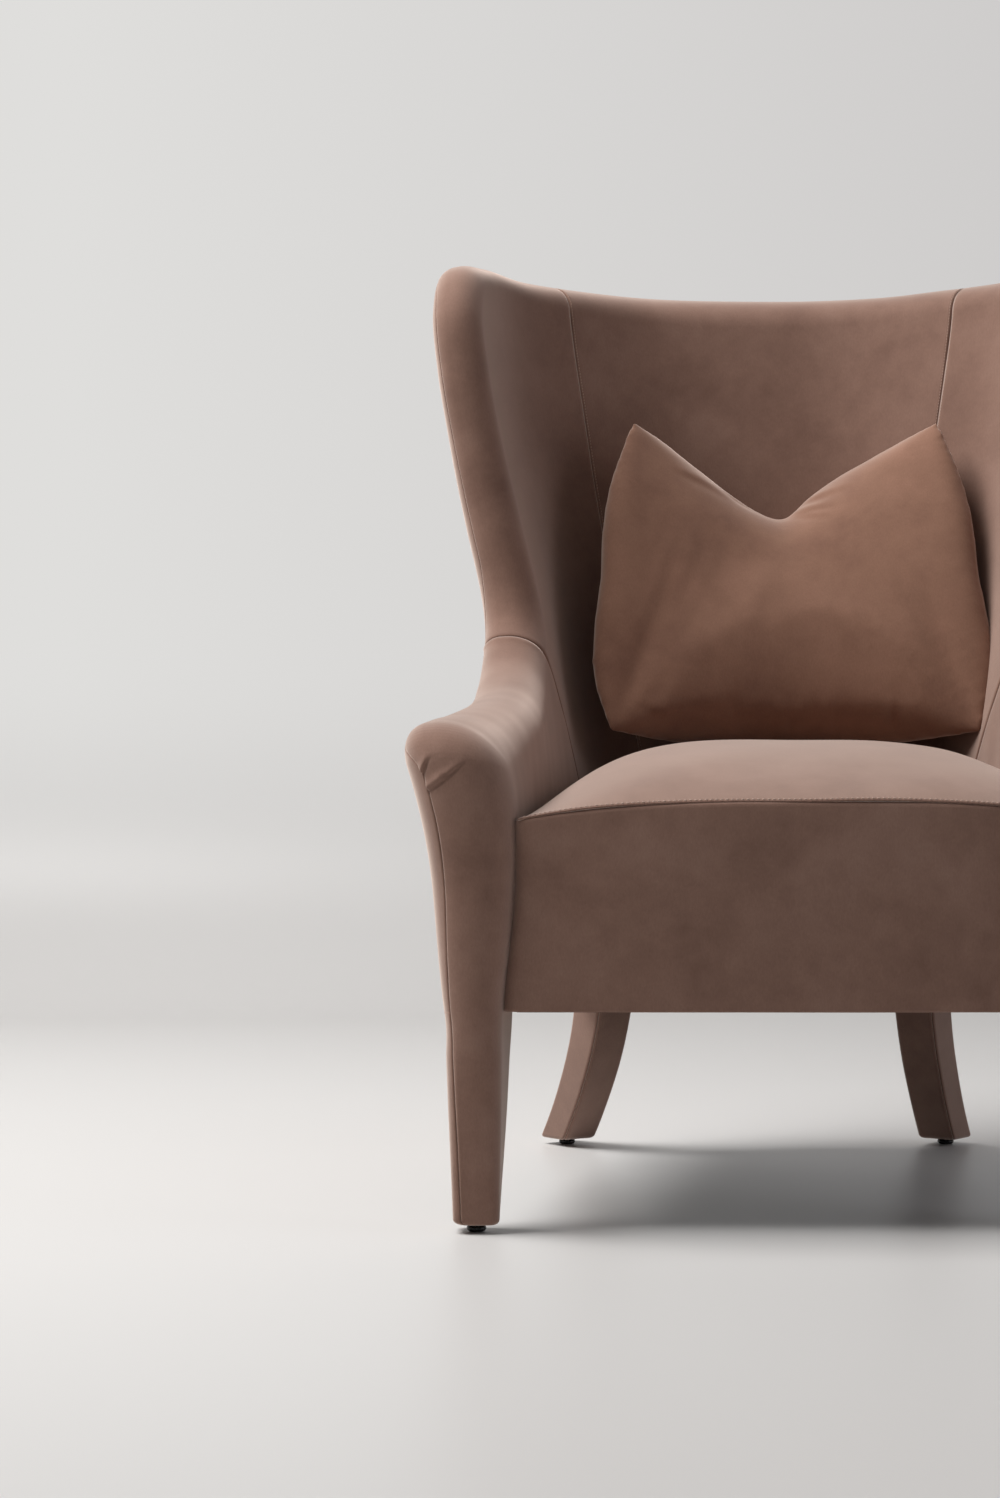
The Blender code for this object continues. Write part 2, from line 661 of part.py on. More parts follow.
def inset_ring(ring, depth):
    """The ring drawn in by a depth, in its own plane."""
    along = np.roll(ring, -1, axis=0) - np.roll(ring, 1, axis=0)
    side = np.stack([-along[:, 1], along[:, 0], np.zeros(len(ring))], axis=1)
    side /= np.linalg.norm(side, axis=1)[:, None]
    turn = np.sum(ring[:, 0] * np.roll(ring[:, 1], -1) - np.roll(ring[:, 0], -1) * ring[:, 1])
    return ring + math.copysign(depth, turn) * side


def shrink(ring, depth):
    """The ring scaled towards its middle, its sides drawn in by about the depth."""
    middle = ring.mean(axis=0)
    reach = np.linalg.norm(ring - middle, axis=1).min()
    return middle + (ring - middle) * (1 - depth / reach)


def front_leg_top(z):
    """The arm front's own outline at the foot of the wall, closed across the back."""
    runs = LEG_TOP_DEPTH * np.array(LEG_RUN_SHARES)
    front = skin_points(np.stack([runs, np.full(len(runs), RAIL_Z)], axis=1))
    across = (front[-1] - front[0]) / np.linalg.norm(front[-1] - front[0])
    start, end = front[0] + across * LEG_ROUND, front[-1] - across * LEG_ROUND
    first = [start, (start + front[1]) / 4 + front[0] / 2]
    last = [(end + front[-2]) / 4 + front[-1] / 2, end]
    ring = np.array(first + list(front[1:-1]) + last)
    ring[:, 2] = z
    return ring


def front_leg_foot(z):
    x, half, front = -LEG_FOOT_X, LEG_HALF_FOOT, -HALF_DEPTH + LEG_SETBACK
    back = front + LEG_FOOT_DEPTH
    corners = [(x - half, back, z), (x - half, front, z), (x + half, front, z), (x + half, back, z)]
    return quad_ring(corners, LEG_CORNER)


def rear_square(centre, half, z):
    turn = math.radians(REAR_TURN_DEGREES)
    along = np.array([math.cos(turn), math.sin(turn)]) * half
    out = np.array([-math.sin(turn), math.cos(turn)]) * half
    corners = [centre - along + out, centre + along + out, centre + along - out, centre - along - out]
    return quad_ring([(*c, z) for c in corners], LEG_CORNER * REAR_CORNER_SHARE)


def leg_heights():
    return [FOOT_Z + share * (RAIL_Z - GAP - FOOT_Z) for share in LEG_HEIGHT_SHARES]


def front_leg_rings():
    rings = []
    for z in leg_heights():
        t = (z - FOOT_Z) / (RAIL_Z - FOOT_Z)
        rings.append(front_leg_foot(z) * (1 - t) + front_leg_top(z) * t)
    return rings


def rear_leg_rings():
    top, foot = np.array([-REAR_TOP_X, REAR_TOP_Y]), np.array([-REAR_FOOT_X, REAR_FOOT_Y])
    rings = []
    for z in leg_heights():
        t = (z - FOOT_Z) / (RAIL_Z - FOOT_Z)
        centre = top + (foot - top) * (1 - t) ** REAR_BEND_SHARE
        rings.append(rear_square(centre, REAR_HALF * (REAR_FOOT_SHARE + (1 - REAR_FOOT_SHARE) * t), z))
    return rings


def leg_cover(name, rings):
    """The leg's velvet, with a rounded foot and a hem turned in below it."""
    outer = [rings[0] * (1, 1, 0) + (0, 0, FOOT_Z + LEG_ROUND)] + rings[1:]
    down, lift = (0, 0, -LEG_ROUND), (0, 0, LEG_COVER)
    curve = shrink(outer[0], LEG_ROUND * 0.30) + (0, 0, -LEG_ROUND * 0.70)
    hem = shrink(outer[0], LEG_ROUND) + down
    tuck = shrink(outer[0], LEG_ROUND + LEG_HEM) + down
    outside = [tuck, hem, curve] + outer
    inside = [inset_ring(ring, LEG_COVER) for ring in outer]
    inner_curve = shrink(inside[0], LEG_ROUND * 0.30) + (0, 0, -LEG_ROUND * 0.30)
    inner_hem = shrink(inside[0], LEG_ROUND * 0.9) + down + lift
    inside = [tuck + lift, inner_hem, inner_curve] + inside
    return shell(name, outside[::-1], inside[::-1])


def leg_core(rings):
    """Rings of the wooden leg under its velvet."""
    inset = LEG_COVER + 3 * GAP
    first = rings[0] * (1, 1, 0) + (0, 0, FOOT_Z + LEG_ROUND + GAP)
    side = inset_ring(first, inset)
    bottom = shrink(side, LEG_ROUND)
    bottom[:, 2] = FOOT_Z + inset
    top = inset_ring(rings[-1], inset) + (0, 0, -LEG_COVER)
    return [bottom, side] + [inset_ring(ring, inset) for ring in rings[1:-1]] + [top]


def wall_box(start, end, z, near, far):
    """Corners of an upright board in the wall, at one height."""
    corners = [(start, near), (end, near), (end, far), (start, far)]
    return [in_wall([(run, z)], depth)[0] for run, depth in corners]


def revolve(name, profile, steps=GLIDE_STEPS):
    """A turned body from (radius, height) points. The first and last lie on the axis."""
    made = bmesh.new()
    points = [made.verts.new((radius, 0, height)) for radius, height in profile]
    edges = [made.edges.new(pair) for pair in zip(points, points[1:])]
    bmesh.ops.spin(
        made, geom=points + edges, cent=(0, 0, 0), axis=(0, 0, 1), angle=2 * math.pi,
        steps=steps, use_merge=True,
    )
    bmesh.ops.remove_doubles(made, verts=made.verts, dist=GAP / 10)
    bmesh.ops.recalc_face_normals(made, faces=made.faces)
    mesh = bpy.data.meshes.new(name)
    made.to_mesh(mesh)
    made.free()
    mesh.shade_smooth()
    mesh.set_sharp_from_angle(angle=math.radians(35))
    return mesh


DRILL_TURN = math.radians(7)


def drill(obj, start, end, radius):
    """A round hole from `start` to `end`, cut out of the object's mesh."""
    start, end = Vector(start), Vector(end)
    reach = end - start
    made = bmesh.new()
    turn = reach.to_track_quat("Z", "Y").to_matrix().to_4x4()
    place = Matrix.Translation((start + end) / 2) @ turn @ Matrix.Rotation(DRILL_TURN, 4, "Z")
    bmesh.ops.create_cone(
        made, cap_ends=True, segments=12, radius1=radius, radius2=radius, depth=reach.length, matrix=place,
    )
    mesh = bpy.data.meshes.new(f"{obj.name}_drill")
    made.to_mesh(mesh)
    made.free()
    cutter = bpy.data.objects.new(f"{obj.name}_drill", mesh)
    bpy.context.scene.collection.objects.link(cutter)
    cut = obj.modifiers.new("hole", "BOOLEAN")
    cut.operation = "DIFFERENCE"
    cut.solver = "EXACT"
    cut.object = cutter
    bpy.context.view_layer.update()
    graph = bpy.context.evaluated_depsgraph_get()
    result = bpy.data.meshes.new_from_object(obj.evaluated_get(graph), depsgraph=graph)
    obj.modifiers.clear()
    obj.data = result
    bpy.data.objects.remove(cutter)


def drill_pair(pair, start, end, radius):
    """The same hole in a right-hand piece and, mirrored, in its left-hand piece."""
    left, right = pair
    drill(right, start, end, radius)
    look = left.data.materials[0]
    left.data = flip_x(right.data, left.name)
    left.data.materials.append(look)


def build_legs(collection):
    """Front posts, rear legs, their velvet and the glides. Gives the four wooden legs by name."""
    near, far = POST_NEAR, POST_FAR
    post_end = POST_OFFSET + POST_DEPTH
    top_z = ARM_TOP_Z - POST_TOP_DROP
    rings = front_leg_rings()
    core = leg_core(rings)
    for z, depth in (
        (RAIL_Z - GAP, far), (CARCASS_TOP_Z, far), (CARCASS_TOP_Z + BOARD, near + BOARD), (top_z, near + BOARD),
    ):
        corners = wall_box(POST_OFFSET, post_end, z, near, depth)
        core.append(quad_ring([corners[1], corners[0], corners[3], corners[2]], LEG_CHAMFER))
    front = add_pair("front_post", loft("front_post", core), WOOD_LOOK, collection)
    add_pair("front_leg_cover", leg_cover("front_leg_cover", rings), VELVET_LOOK, collection)

    rings = rear_leg_rings()
    core = leg_core(rings)
    start, end = REAR_LEG_OFFSET - LEG_BLOCK_WIDTH / 2, REAR_LEG_OFFSET + LEG_BLOCK_WIDTH / 2
    for z in (RAIL_Z - GAP, CARCASS_TOP_Z):
        corners = wall_box(start, end, z, LEG_BLOCK_NEAR, LEG_BLOCK_FAR)
        core.append(quad_ring(corners, LEG_CHAMFER))
    rear = add_pair("rear_leg", loft("rear_leg", core), WOOD_LOOK, collection)
    add_pair("rear_leg_cover", leg_cover("rear_leg_cover", rings), VELVET_LOOK, collection)

    seat = FOOT_Z + LEG_COVER
    profile = [
        (0, 0), (GLIDE_FLAT, 0), (GLIDE_RADIUS, GLIDE_BULGE_Z), (GLIDE_NECK, seat), (GLIDE_PIN, seat),
        (GLIDE_PIN, seat + GLIDE_PIN_LENGTH), (0, seat + GLIDE_PIN_LENGTH),
    ]
    places = {
        "front": (LEG_FOOT_X, -HALF_DEPTH + LEG_SETBACK + LEG_FOOT_DEPTH / 2, front),
        "rear": (REAR_FOOT_X, REAR_FOOT_Y, rear),
    }
    for stem, (x, y, pair) in places.items():
        drill_pair(pair, (x, y, FOOT_Z), (x, y, seat + GLIDE_PIN_LENGTH + GAP), GLIDE_PIN + GAP)
        for side in (-1, 1):
            name = f"{stem}_glide_{'left' if side < 0 else 'right'}"
            glide = add_object(name, revolve(name, profile), GLIDE_LOOK, collection)
            glide.location = (side * x, y, 0)
    return front, rear


def build_carcass(collection, front, rear):
    """Seat rails, corner blocks, screws and the boards inside the wall."""
    rail_mid = (RAIL_Z + CARCASS_TOP_Z) / 2
    rail_width = CARCASS_TOP_Z - RAIL_Z
    near, far = HIDDEN_GAP, HIDDEN_GAP + BOARD
    post_end = POST_OFFSET + POST_DEPTH
    leg_start, leg_end = REAR_LEG_OFFSET - LEG_BLOCK_WIDTH / 2, REAR_LEG_OFFSET + LEG_BLOCK_WIDTH / 2
    side = rail_path(post_end + GAP, leg_start - GAP, rail_mid)
    add_pair("side_rail", beam("side_rail", side, rail_width, near, far), WOOD_LOOK, collection)
    back = rail_path(leg_end + GAP, 2 * PATTERN_LENGTH - leg_end - GAP, rail_mid)
    add_object("back_rail", beam("back_rail", back, rail_width, near, far), WOOD_LOOK, collection)
    front_y, rear_y = FRONT_RAIL_Y - BOARD / 2, FRONT_RAIL_Y + BOARD / 2
    rings = []
    for z in (RAIL_Z, CARCASS_TOP_Z):
        x = post_inner_x(z, rear_y)
        rings.append([(x, front_y, z), (-x, front_y, z), (-x, rear_y, z), (x, rear_y, z)])
    add_object("front_rail", loft("front_rail", rings), WOOD_LOOK, collection)

    arm_lengths = np.linspace(length_where(0, post_end, CORNER_START), ARM_END, 9)
    edge, into = edge_at(arm_lengths)
    arm = edge + into * (ARM_BOARD_INSET + FRAME_WIDTH / 2)
    stop = WING_POST_OFFSET - FRAME_WIDTH / 2 - GAP
    arm = arm[(arm[:, 0] < stop - BOARD) & (arm[:, 0] > post_end + BOARD)]
    start_z = arm[0, 1] - BOARD * 0.2
    arm = np.concatenate([[(post_end + GAP, start_z)], arm, [(stop, arm[-1, 1] + BOARD)]])
    board = beam("arm_rail", arm, FRAME_WIDTH, near, far, upright=True)
    add_pair("arm_rail", board, WOOD_LOOK, collection)

    edge, into = edge_at(np.linspace(ARM_END, BACK_SEAM, 13))
    wing = edge + into * (WING_BOARD_INSET + FRAME_WIDTH / 2)
    post_low, post_high = BACK_POST_OFFSET - FRAME_WIDTH / 2, BACK_POST_OFFSET + FRAME_WIDTH / 2
    wing = wing[(wing[:, 1] > WAIST_Z + FRAME_WIDTH) & (wing[:, 0] < post_low - FRAME_WIDTH / 2)]
    crest_z = CREST_Z - WING_BOARD_INSET - FRAME_WIDTH / 2
    foot = [(WING_POST_OFFSET, z) for z in np.linspace(CARCASS_TOP_Z + GAP, WAIST_Z, 4)]
    wing = np.concatenate([foot, wing, [(post_low - GAP, crest_z)]])
    board = beam("wing_frame", wing, FRAME_WIDTH, near, near + WING_BOARD)
    add_pair("wing_frame", board, WOOD_LOOK, collection)

    heights = np.linspace(CARCASS_TOP_Z + GAP, crest_z - FRAME_WIDTH / 2 - GAP, 6)
    post = [(BACK_POST_OFFSET, z) for z in heights]
    add_pair("back_post", beam("back_post", post, FRAME_WIDTH, near, far), WOOD_LOOK, collection)
    crest = level_path(post_low, 2 * PATTERN_LENGTH - post_low, crest_z, 9)
    add_object("crest_rail", beam("crest_rail", crest, FRAME_WIDTH, near, far), WOOD_LOOK, collection)
    lower = level_path(post_high + GAP, 2 * PATTERN_LENGTH - post_high - GAP, LOWER_BACK_Z, 7)
    add_object("lower_back_rail", beam("lower_back_rail", lower, FRAME_WIDTH, near, far), WOOD_LOOK, collection)
    for number, share in enumerate(WEBBING_SHARES, 1):
        z = LOWER_BACK_Z + FRAME_WIDTH + share * (crest_z - LOWER_BACK_Z - FRAME_WIDTH)
        band = level_path(post_low, 2 * PATTERN_LENGTH - post_low, z, 9)
        name = f"back_webbing_{number}"
        strip = beam(name, band, WEBBING_WIDTH, far + 3 * GAP, far + 3 * GAP + WEBBING)
        add_object(name, strip, WEBBING_LOOK, collection)

    build_blocks(collection, front, rear)


def front_block_plan(z):
    """Plan of a front corner block, notched round the post, with its open face across the corner."""
    post_end = POST_OFFSET + POST_DEPTH
    far = HIDDEN_GAP + BOARD + BLOCK_SLACK
    post = wall_box(POST_OFFSET, post_end, z, POST_NEAR, POST_FAR + GAP)
    back = wall_box(post_end + GAP, post_end + GAP + BLOCK_LENGTH, z, far, far)
    rail_y = FRONT_RAIL_Y + BOARD / 2 + GAP
    reach = (back[1][0] + back[1][1] - rail_y, rail_y)
    notch = post[2][:2] + (GAP, GAP)
    return [reach, (post_inner_x(z, rail_y) + GAP, rail_y), notch, back[0][:2] + (0, GAP), back[1][:2]]


def rear_block_plan(z):
    start, end = REAR_LEG_OFFSET - LEG_BLOCK_WIDTH / 2 - GAP, REAR_LEG_OFFSET + LEG_BLOCK_WIDTH / 2 + GAP
    far = HIDDEN_GAP + BOARD + BLOCK_SLACK
    leg = wall_box(start, end, z, far, LEG_BLOCK_FAR + GAP)
    ends = wall_box(start - BLOCK_LENGTH, end + BLOCK_LENGTH, z, far, far)
    face = wall_box(start, end, z, far, LEG_BLOCK_FAR + BOARD)
    return [p[:2] for p in (face[3], ends[0], leg[0], leg[3], leg[2], leg[1], ends[1], face[2])]


def build_blocks(collection, front, rear):
    """Corner blocks, each with a coach screw into its leg."""
    mid_z = BLOCK_Z + BLOCK_HEIGHT / 2
    for name, plan, face, aim, legs in (
        ("front_corner_block", front_block_plan, (0, 4), (2,), front),
        ("rear_corner_block", rear_block_plan, (0, 7), (3, 4), rear),
    ):
        rings = []
        for z in (BLOCK_Z, BLOCK_Z + BLOCK_HEIGHT):
            rings.append([(*point, z) for point in plan(z)])
        blocks = add_pair(name, loft(name, rings), WOOD_LOOK, collection)
        middle = [np.array(point) for point in plan(mid_z)]
        target = sum(middle[k] for k in aim) / len(aim)
        add_screws(blocks, legs, (middle[face[0]], middle[face[1]]), target, collection)


def add_screws(blocks, legs, face, target, collection):
    """A hole and a coach screw at right angles to each block's open face, into the leg."""
    z = BLOCK_Z + BLOCK_HEIGHT / 2
    first, last = face
    along = (last - first) / np.linalg.norm(last - first)
    start = first + along * np.dot(target - first, along)
    away = (target - start) / np.linalg.norm(target - start)
    profile = [
        (0, SCREW_HEAD_HEIGHT), (SCREW_HEAD, SCREW_HEAD_HEIGHT), (SCREW_HEAD, 0), (SCREW_SHANK, 0),
        (SCREW_SHANK, -SCREW_LENGTH), (0, -SCREW_LENGTH),
    ]
    place, into = Vector((-start[0], start[1], z)), Vector((-away[0], away[1], 0))
    for pair in (blocks, legs):
        drill_pair(pair, place - into * BOARD, place + into * (SCREW_LENGTH + GAP), SCREW_SHANK + GAP)
    for side, block in zip((-1, 1), blocks):
        place = Vector((-start[0] * side, start[1], z))
        into = Vector((-away[0] * side, away[1], 0))
        name = block.name.replace("block", "screw")
        screw = add_object(name, revolve(name, profile, steps=6), STEEL_LOOK, collection)
        screw.location = place - into * 3 * GAP
        screw.rotation_mode = "QUATERNION"
        screw.rotation_quaternion = (-into).to_track_quat("Z", "Y")


# Seat


SEAT_HALF_COLUMNS = (0.0, 0.0035, 0.010, 0.022, 0.060, 0.150, 0.270, 0.390)
SEAT_U = np.array(SEAT_HALF_COLUMNS + (0.5,) + tuple(1 - u for u in SEAT_HALF_COLUMNS[::-1]))
SEAT_V = np.array((0.0, 0.025, 0.075, 0.15, 0.26, 0.40, 0.56, 0.74, 0.90, 0.996, 1.0))


def seat_side(z, inset):
    """The seat's left side along the inner face of the arm, from the front corner to the back corner."""
    runs = SEAT_SIDE_START + (SEAT_BACK_CORNER - SEAT_SIDE_START) * SEAT_V
    middle, half, inward = wall_frame(np.stack([runs, np.full(len(runs), z)], axis=1))
    return (middle + (half + inset)[:, None] * inward)[:, :2]


def seat_back(z, inset):
    runs = SEAT_BACK_CORNER + 2 * (PATTERN_LENGTH - SEAT_BACK_CORNER) * SEAT_U
    middle, half, inward = wall_frame(np.stack([runs, np.full(len(runs), z)], axis=1))
    return (middle + (half + inset)[:, None] * inward)[:, :2]


def seat_front(side_start):
    """The front outline, bowed, with its corners turned back to the start of the sides."""
    half = -side_start[0]
    share = 2 * SEAT_U - 1
    x = share * half
    y = SEAT_FRONT_Y - SEAT_BOW * (1 - share**2)
    turn = np.clip((np.abs(x) - half + SEAT_CORNER) / SEAT_CORNER, 0, 1)
    y += (side_start[1] - SEAT_FRONT_Y) * (1 - np.sqrt(1 - turn**2))
    return np.stack([x, y], axis=1)


def inset_line(line, depth):
    """An open plan line drawn towards the back by a depth."""
    along = np.gradient(line[:, :2], axis=0)
    along /= np.linalg.norm(along, axis=1)[:, None]
    moved = np.array(line)
    moved[:, 0] -= depth * along[:, 1]
    moved[:, 1] += depth * along[:, 0]
    return moved


def seat_plan(side_inset, front=None):
    """Grid of plan points over the seat, rows from front to back, columns from left to right."""
    left = seat_side(DECK_Z, side_inset)
    back = seat_back(DECK_Z, side_inset)
    if front is None:
        front = seat_front(left[0])
    left[0] = front[0]
    right = left * (-1, 1)
    u, v = SEAT_U[None, :, None], SEAT_V[:, None, None]
    patch = (1 - v) * front[None] + v * back[None] + (1 - u) * left[:, None] + u * right[:, None]
    patch -= (1 - u) * (1 - v) * front[0] + u * (1 - v) * front[-1] + (1 - u) * v * back[0] + u * v * back[-1]
    return patch


def seat_height(plan):
    """Height of the crowned seat at its grid points, down to the sewn edge."""
    u, v = np.abs(2 * SEAT_U - 1)[None, :], SEAT_V[:, None]
    top = (CROWN_Y - SEAT_FRONT_Y) / (plan[-1, len(SEAT_U) // 2, 1] - SEAT_FRONT_Y)
    rise = np.where(v < top, 1 - (1 - v / top).clip(0) ** 2.4, 1 - CROWN_FALL_SHARE * ((v - top) / (1 - top)) ** 2)
    seam = SEAM_Z - SEAM_END_DROP * u**3 * (1 - v)
    return seam + CROWN * (1 - u**CROWN_SHARE) * rise


def build_seat(collection):
    """Foam, burlap, springs, the crowned cover and the front border."""
    outer = seat_plan(SEAM_GAP)
    height = seat_height(outer)
    under = VELVET + GAP
    inner = seat_plan(SEAM_GAP + VELVET, inset_line(outer[0], VELVET))
    soft = seat_plan(SEAM_GAP + SEAT_BORDER + GAP, inset_line(outer[0], SEAT_BORDER + VELVET))
    spring_z = CARCASS_TOP_Z + GAP + SPRING_WIRE
    burlap_z = spring_z + SPRING_WIRE + GAP
    foam_z = burlap_z + BURLAP + GAP

    skirt = np.zeros_like(height)
    skirt[2:, [0, -1]] = SEAT_SKIRT
    skirt[-1] = SEAT_SKIRT
    skin = (np.dstack([outer, height - skirt]), np.dstack([inner, height - skirt - VELVET]))
    add_object("seat_cover", slab("seat_cover", *skin), VELVET_LOOK, collection)
    top = np.dstack([soft, height - under])
    foam = slab("seat_foam", top, np.dstack([soft, np.full(height.shape, foam_z)]))
    add_object("seat_foam", foam, FOAM_LOOK, collection)
    outline = np.concatenate([soft[0, :-1], soft[:-1, -1], soft[-1, :0:-1], soft[:0:-1, 0]])
    burlap = prism("seat_burlap", outline, burlap_z, burlap_z + BURLAP)
    add_object("seat_burlap", burlap, BURLAP_LOOK, collection)

    front = outer[0][1:-1]
    faces = []
    for line, swell in ((front, 0), (inset_line(front, SEAT_BORDER), 0)):
        rows = []
        for t in np.linspace(0, 1, 6):
            top = height[0][1:-1] - VELVET - GAP
            z = RAIL_Z + GAP + (top - RAIL_Z - GAP) * t
            reach = seat_side(min(z[0], DECK_Z), SEAM_GAP)[0, 0] / outer[0, 0, 0]
            x = line[:, 0] * (reach + 4 * t * (1 - t) * swell / SEAT_HALF_FRONT)
            rows.append(np.stack([x, line[:, 1], z], axis=1))
        faces.append(np.array(rows))
    border = slab("seat_front_border", faces[0], faces[1])
    add_object("seat_front_border", border, VELVET_LOOK, collection)

    runs = np.linspace(REAR_LEG_OFFSET, PATTERN_LENGTH, 20)
    rail = in_wall(np.stack([runs, np.full(20, CARCASS_TOP_Z)], axis=1), HIDDEN_GAP + BOARD / 2)
    for number in range(SPRING_COUNT):
        x = (number - (SPRING_COUNT - 1) / 2) * SPRING_PITCH
        name = f"seat_spring_{number + 1}"
        back_y = float(np.interp(-abs(x), rail[:, 0], rail[:, 1]))
        add_object(name, zigzag(name, x, FRONT_RAIL_Y, back_y, spring_z), STEEL_LOOK, collection)


def zigzag(name, x, front, back, z):
    """A flat zigzag spring from rail to rail."""
    curve = bpy.data.curves.new(name, "CURVE")
    curve.dimensions = "3D"
    curve.bevel_depth = SPRING_WIRE
    curve.bevel_resolution = 0
    curve.use_fill_caps = True
    line = curve.splines.new("POLY")
    steps = 3 * SPRING_BENDS
    line.points.add(steps)
    for k, point in enumerate(line.points):
        share = k / steps
        sway = math.sin(2 * math.pi * SPRING_BENDS / 2 * share)
        swing = SPRING_HALF_WIDTH * math.copysign(abs(sway) ** 0.5, sway)
        point.co = (x + swing, front + (back - front) * share, z, 1)
    holder = bpy.data.objects.new(name, curve)
    bpy.context.scene.collection.objects.link(holder)
    bpy.context.view_layer.update()
    graph = bpy.context.evaluated_depsgraph_get()
    mesh = bpy.data.meshes.new_from_object(holder.evaluated_get(graph), depsgraph=graph)
    bpy.data.objects.remove(holder)
    made = bmesh.new()
    made.from_mesh(mesh)
    bmesh.ops.remove_doubles(made, verts=made.verts, dist=GAP / 10)
    bmesh.ops.recalc_face_normals(made, faces=made.faces)
    made.to_mesh(mesh)
    made.free()
    mesh.name = name
    return mesh


def build_dust_cover(collection):
    """Black cloth under the rails, cut round the four legs."""
    top = RAIL_Z - GAP
    edge = DUST_INSET
    leg_x = front_leg_top(RAIL_Z)[:, 0].max() + edge / 2
    leg_y = front_leg_top(RAIL_Z)[:, 1].max() + edge / 2
    front_y = FRONT_RAIL_Y - BOARD / 2 + GAP
    plan = [(0, front_y), (leg_x, front_y), (leg_x, leg_y)]
    start = LEG_TOP_DEPTH + edge
    reach = 1.3 * LEG_BLOCK_WIDTH
    runs = np.linspace(start, REAR_LEG_OFFSET - reach, 8)
    plan += [tuple(p[:2]) for p in in_wall(np.stack([runs, np.full(len(runs), RAIL_Z)], axis=1), edge)]
    centre = np.array([-REAR_TOP_X, REAR_TOP_Y])
    for point in rear_square(centre, REAR_HALF + edge, RAIL_Z)[[10, 7]]:
        plan.append(tuple(point[:2]))
    runs = np.linspace(REAR_LEG_OFFSET + reach, PATTERN_LENGTH, 5)
    plan += [tuple(p[:2]) for p in in_wall(np.stack([runs, np.full(len(runs), RAIL_Z)], axis=1), edge)]
    plan += [(-x, y) for x, y in plan[-2:0:-1]]
    add_object("dust_cover", prism("dust_cover", plan, top - DUST_CLOTH, top), CLOTH_LOOK, collection)


# Scatter cushion


def cushion_grid():
    """Shares across and up, and the thickness share, of the cushion's grid."""
    line = np.sin(np.linspace(-1, 1, CUSHION_ROWS + 1) * math.pi / 2 * 0.94) / math.sin(math.pi / 2 * 0.94)
    p, q = np.meshgrid(line, line)
    fill = ((1 - np.abs(p) ** 2.2) * (1 - np.abs(q) ** 2.2)) ** 0.5
    return p, q, fill


def cushion_place(p, q, out):
    """Cushion grid shares and offsets out of its middle sheet, set in the chair."""
    half = CUSHION_HALF_WIDTH * np.tensordot(
        weights(CUSHION_KNOT_SHARES, q.ravel()), np.array(CUSHION_WIDTH_SHARES), axes=1,
    ).reshape(q.shape)
    sag = CHOP_DEPTH * (1 - np.abs(p)) ** CHOP_SHARE * ((1 + q) / 2) ** 2
    lean = math.radians(CUSHION_LEAN_DEGREES)
    x = p * half
    up = q * CUSHION_HALF_HEIGHT - sag
    y = out - CUSHION_CURL * p**2
    across = np.stack([
        CUSHION_X + x,
        CUSHION_Y + y * math.cos(lean) - up * math.sin(lean),
        CUSHION_Z + y * math.sin(lean) + up * math.cos(lean),
    ], axis=2)
    return across


def build_cushion(collection):
    """The filling and the two velvet sheets, which meet at a knife edge."""
    p, q, fill = cushion_grid()
    start = GAP / 2
    thick = CUSHION_HALF_THICK * fill
    for name, side in (("cushion_cover_front", -1), ("cushion_cover_back", 1)):
        outside = cushion_place(p, q, side * (start + thick + CUSHION_COVER))
        inside = cushion_place(p, q, side * (start + thick))
        add_object(name, slab(name, outside, inside), VELVET_LOOK, collection)
    p, q = p * (1 - FILLING_MARGIN_SHARE), q * (1 - FILLING_MARGIN_SHARE)
    thick = np.maximum(CUSHION_HALF_THICK * fill - FILLING_SLACK, 3 * GAP)
    front, back = cushion_place(p, q, -thick), cushion_place(p, q, thick)
    add_object("cushion_filling", slab("cushion_filling", front, back), WADDING_LOOK, collection)


def main():
    clear_scene()
    chair = new_collection("wingback_chair")
    build_wall(chair)
    front, rear = build_legs(chair)
    build_carcass(chair, front, rear)
    build_seat(chair)
    build_dust_cover(chair)
    build_cushion(chair)


main()
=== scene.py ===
"""A wingback chair in rose-brown velvet with one scatter cushion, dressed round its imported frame."""

import logging
import math
from dataclasses import dataclass, field
from enum import Enum

import bmesh
import bpy
import numpy as np
from bmesh.types import BMesh
from bpy.types import Material, Node, NodeSocket, NodeTree, Object
from mathutils import Matrix, Vector
from mathutils.bvhtree import BVHTree


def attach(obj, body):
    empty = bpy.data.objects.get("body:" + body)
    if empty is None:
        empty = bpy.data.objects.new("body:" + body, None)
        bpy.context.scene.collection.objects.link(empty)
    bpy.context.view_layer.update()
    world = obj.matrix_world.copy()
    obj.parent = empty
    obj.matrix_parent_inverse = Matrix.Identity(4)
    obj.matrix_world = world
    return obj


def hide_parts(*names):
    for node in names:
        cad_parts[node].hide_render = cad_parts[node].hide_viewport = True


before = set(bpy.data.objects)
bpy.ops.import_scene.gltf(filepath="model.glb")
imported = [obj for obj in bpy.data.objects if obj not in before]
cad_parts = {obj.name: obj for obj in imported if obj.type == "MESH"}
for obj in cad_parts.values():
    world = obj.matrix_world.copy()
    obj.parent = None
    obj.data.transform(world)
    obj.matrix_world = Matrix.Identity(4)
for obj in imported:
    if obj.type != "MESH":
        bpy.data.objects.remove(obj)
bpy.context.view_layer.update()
LOG = logging.getLogger("wingback")

MM = 0.001
CHAIR, CUSHION = "chair", "cushion"
VELVET_THICK = 2.2 * MM


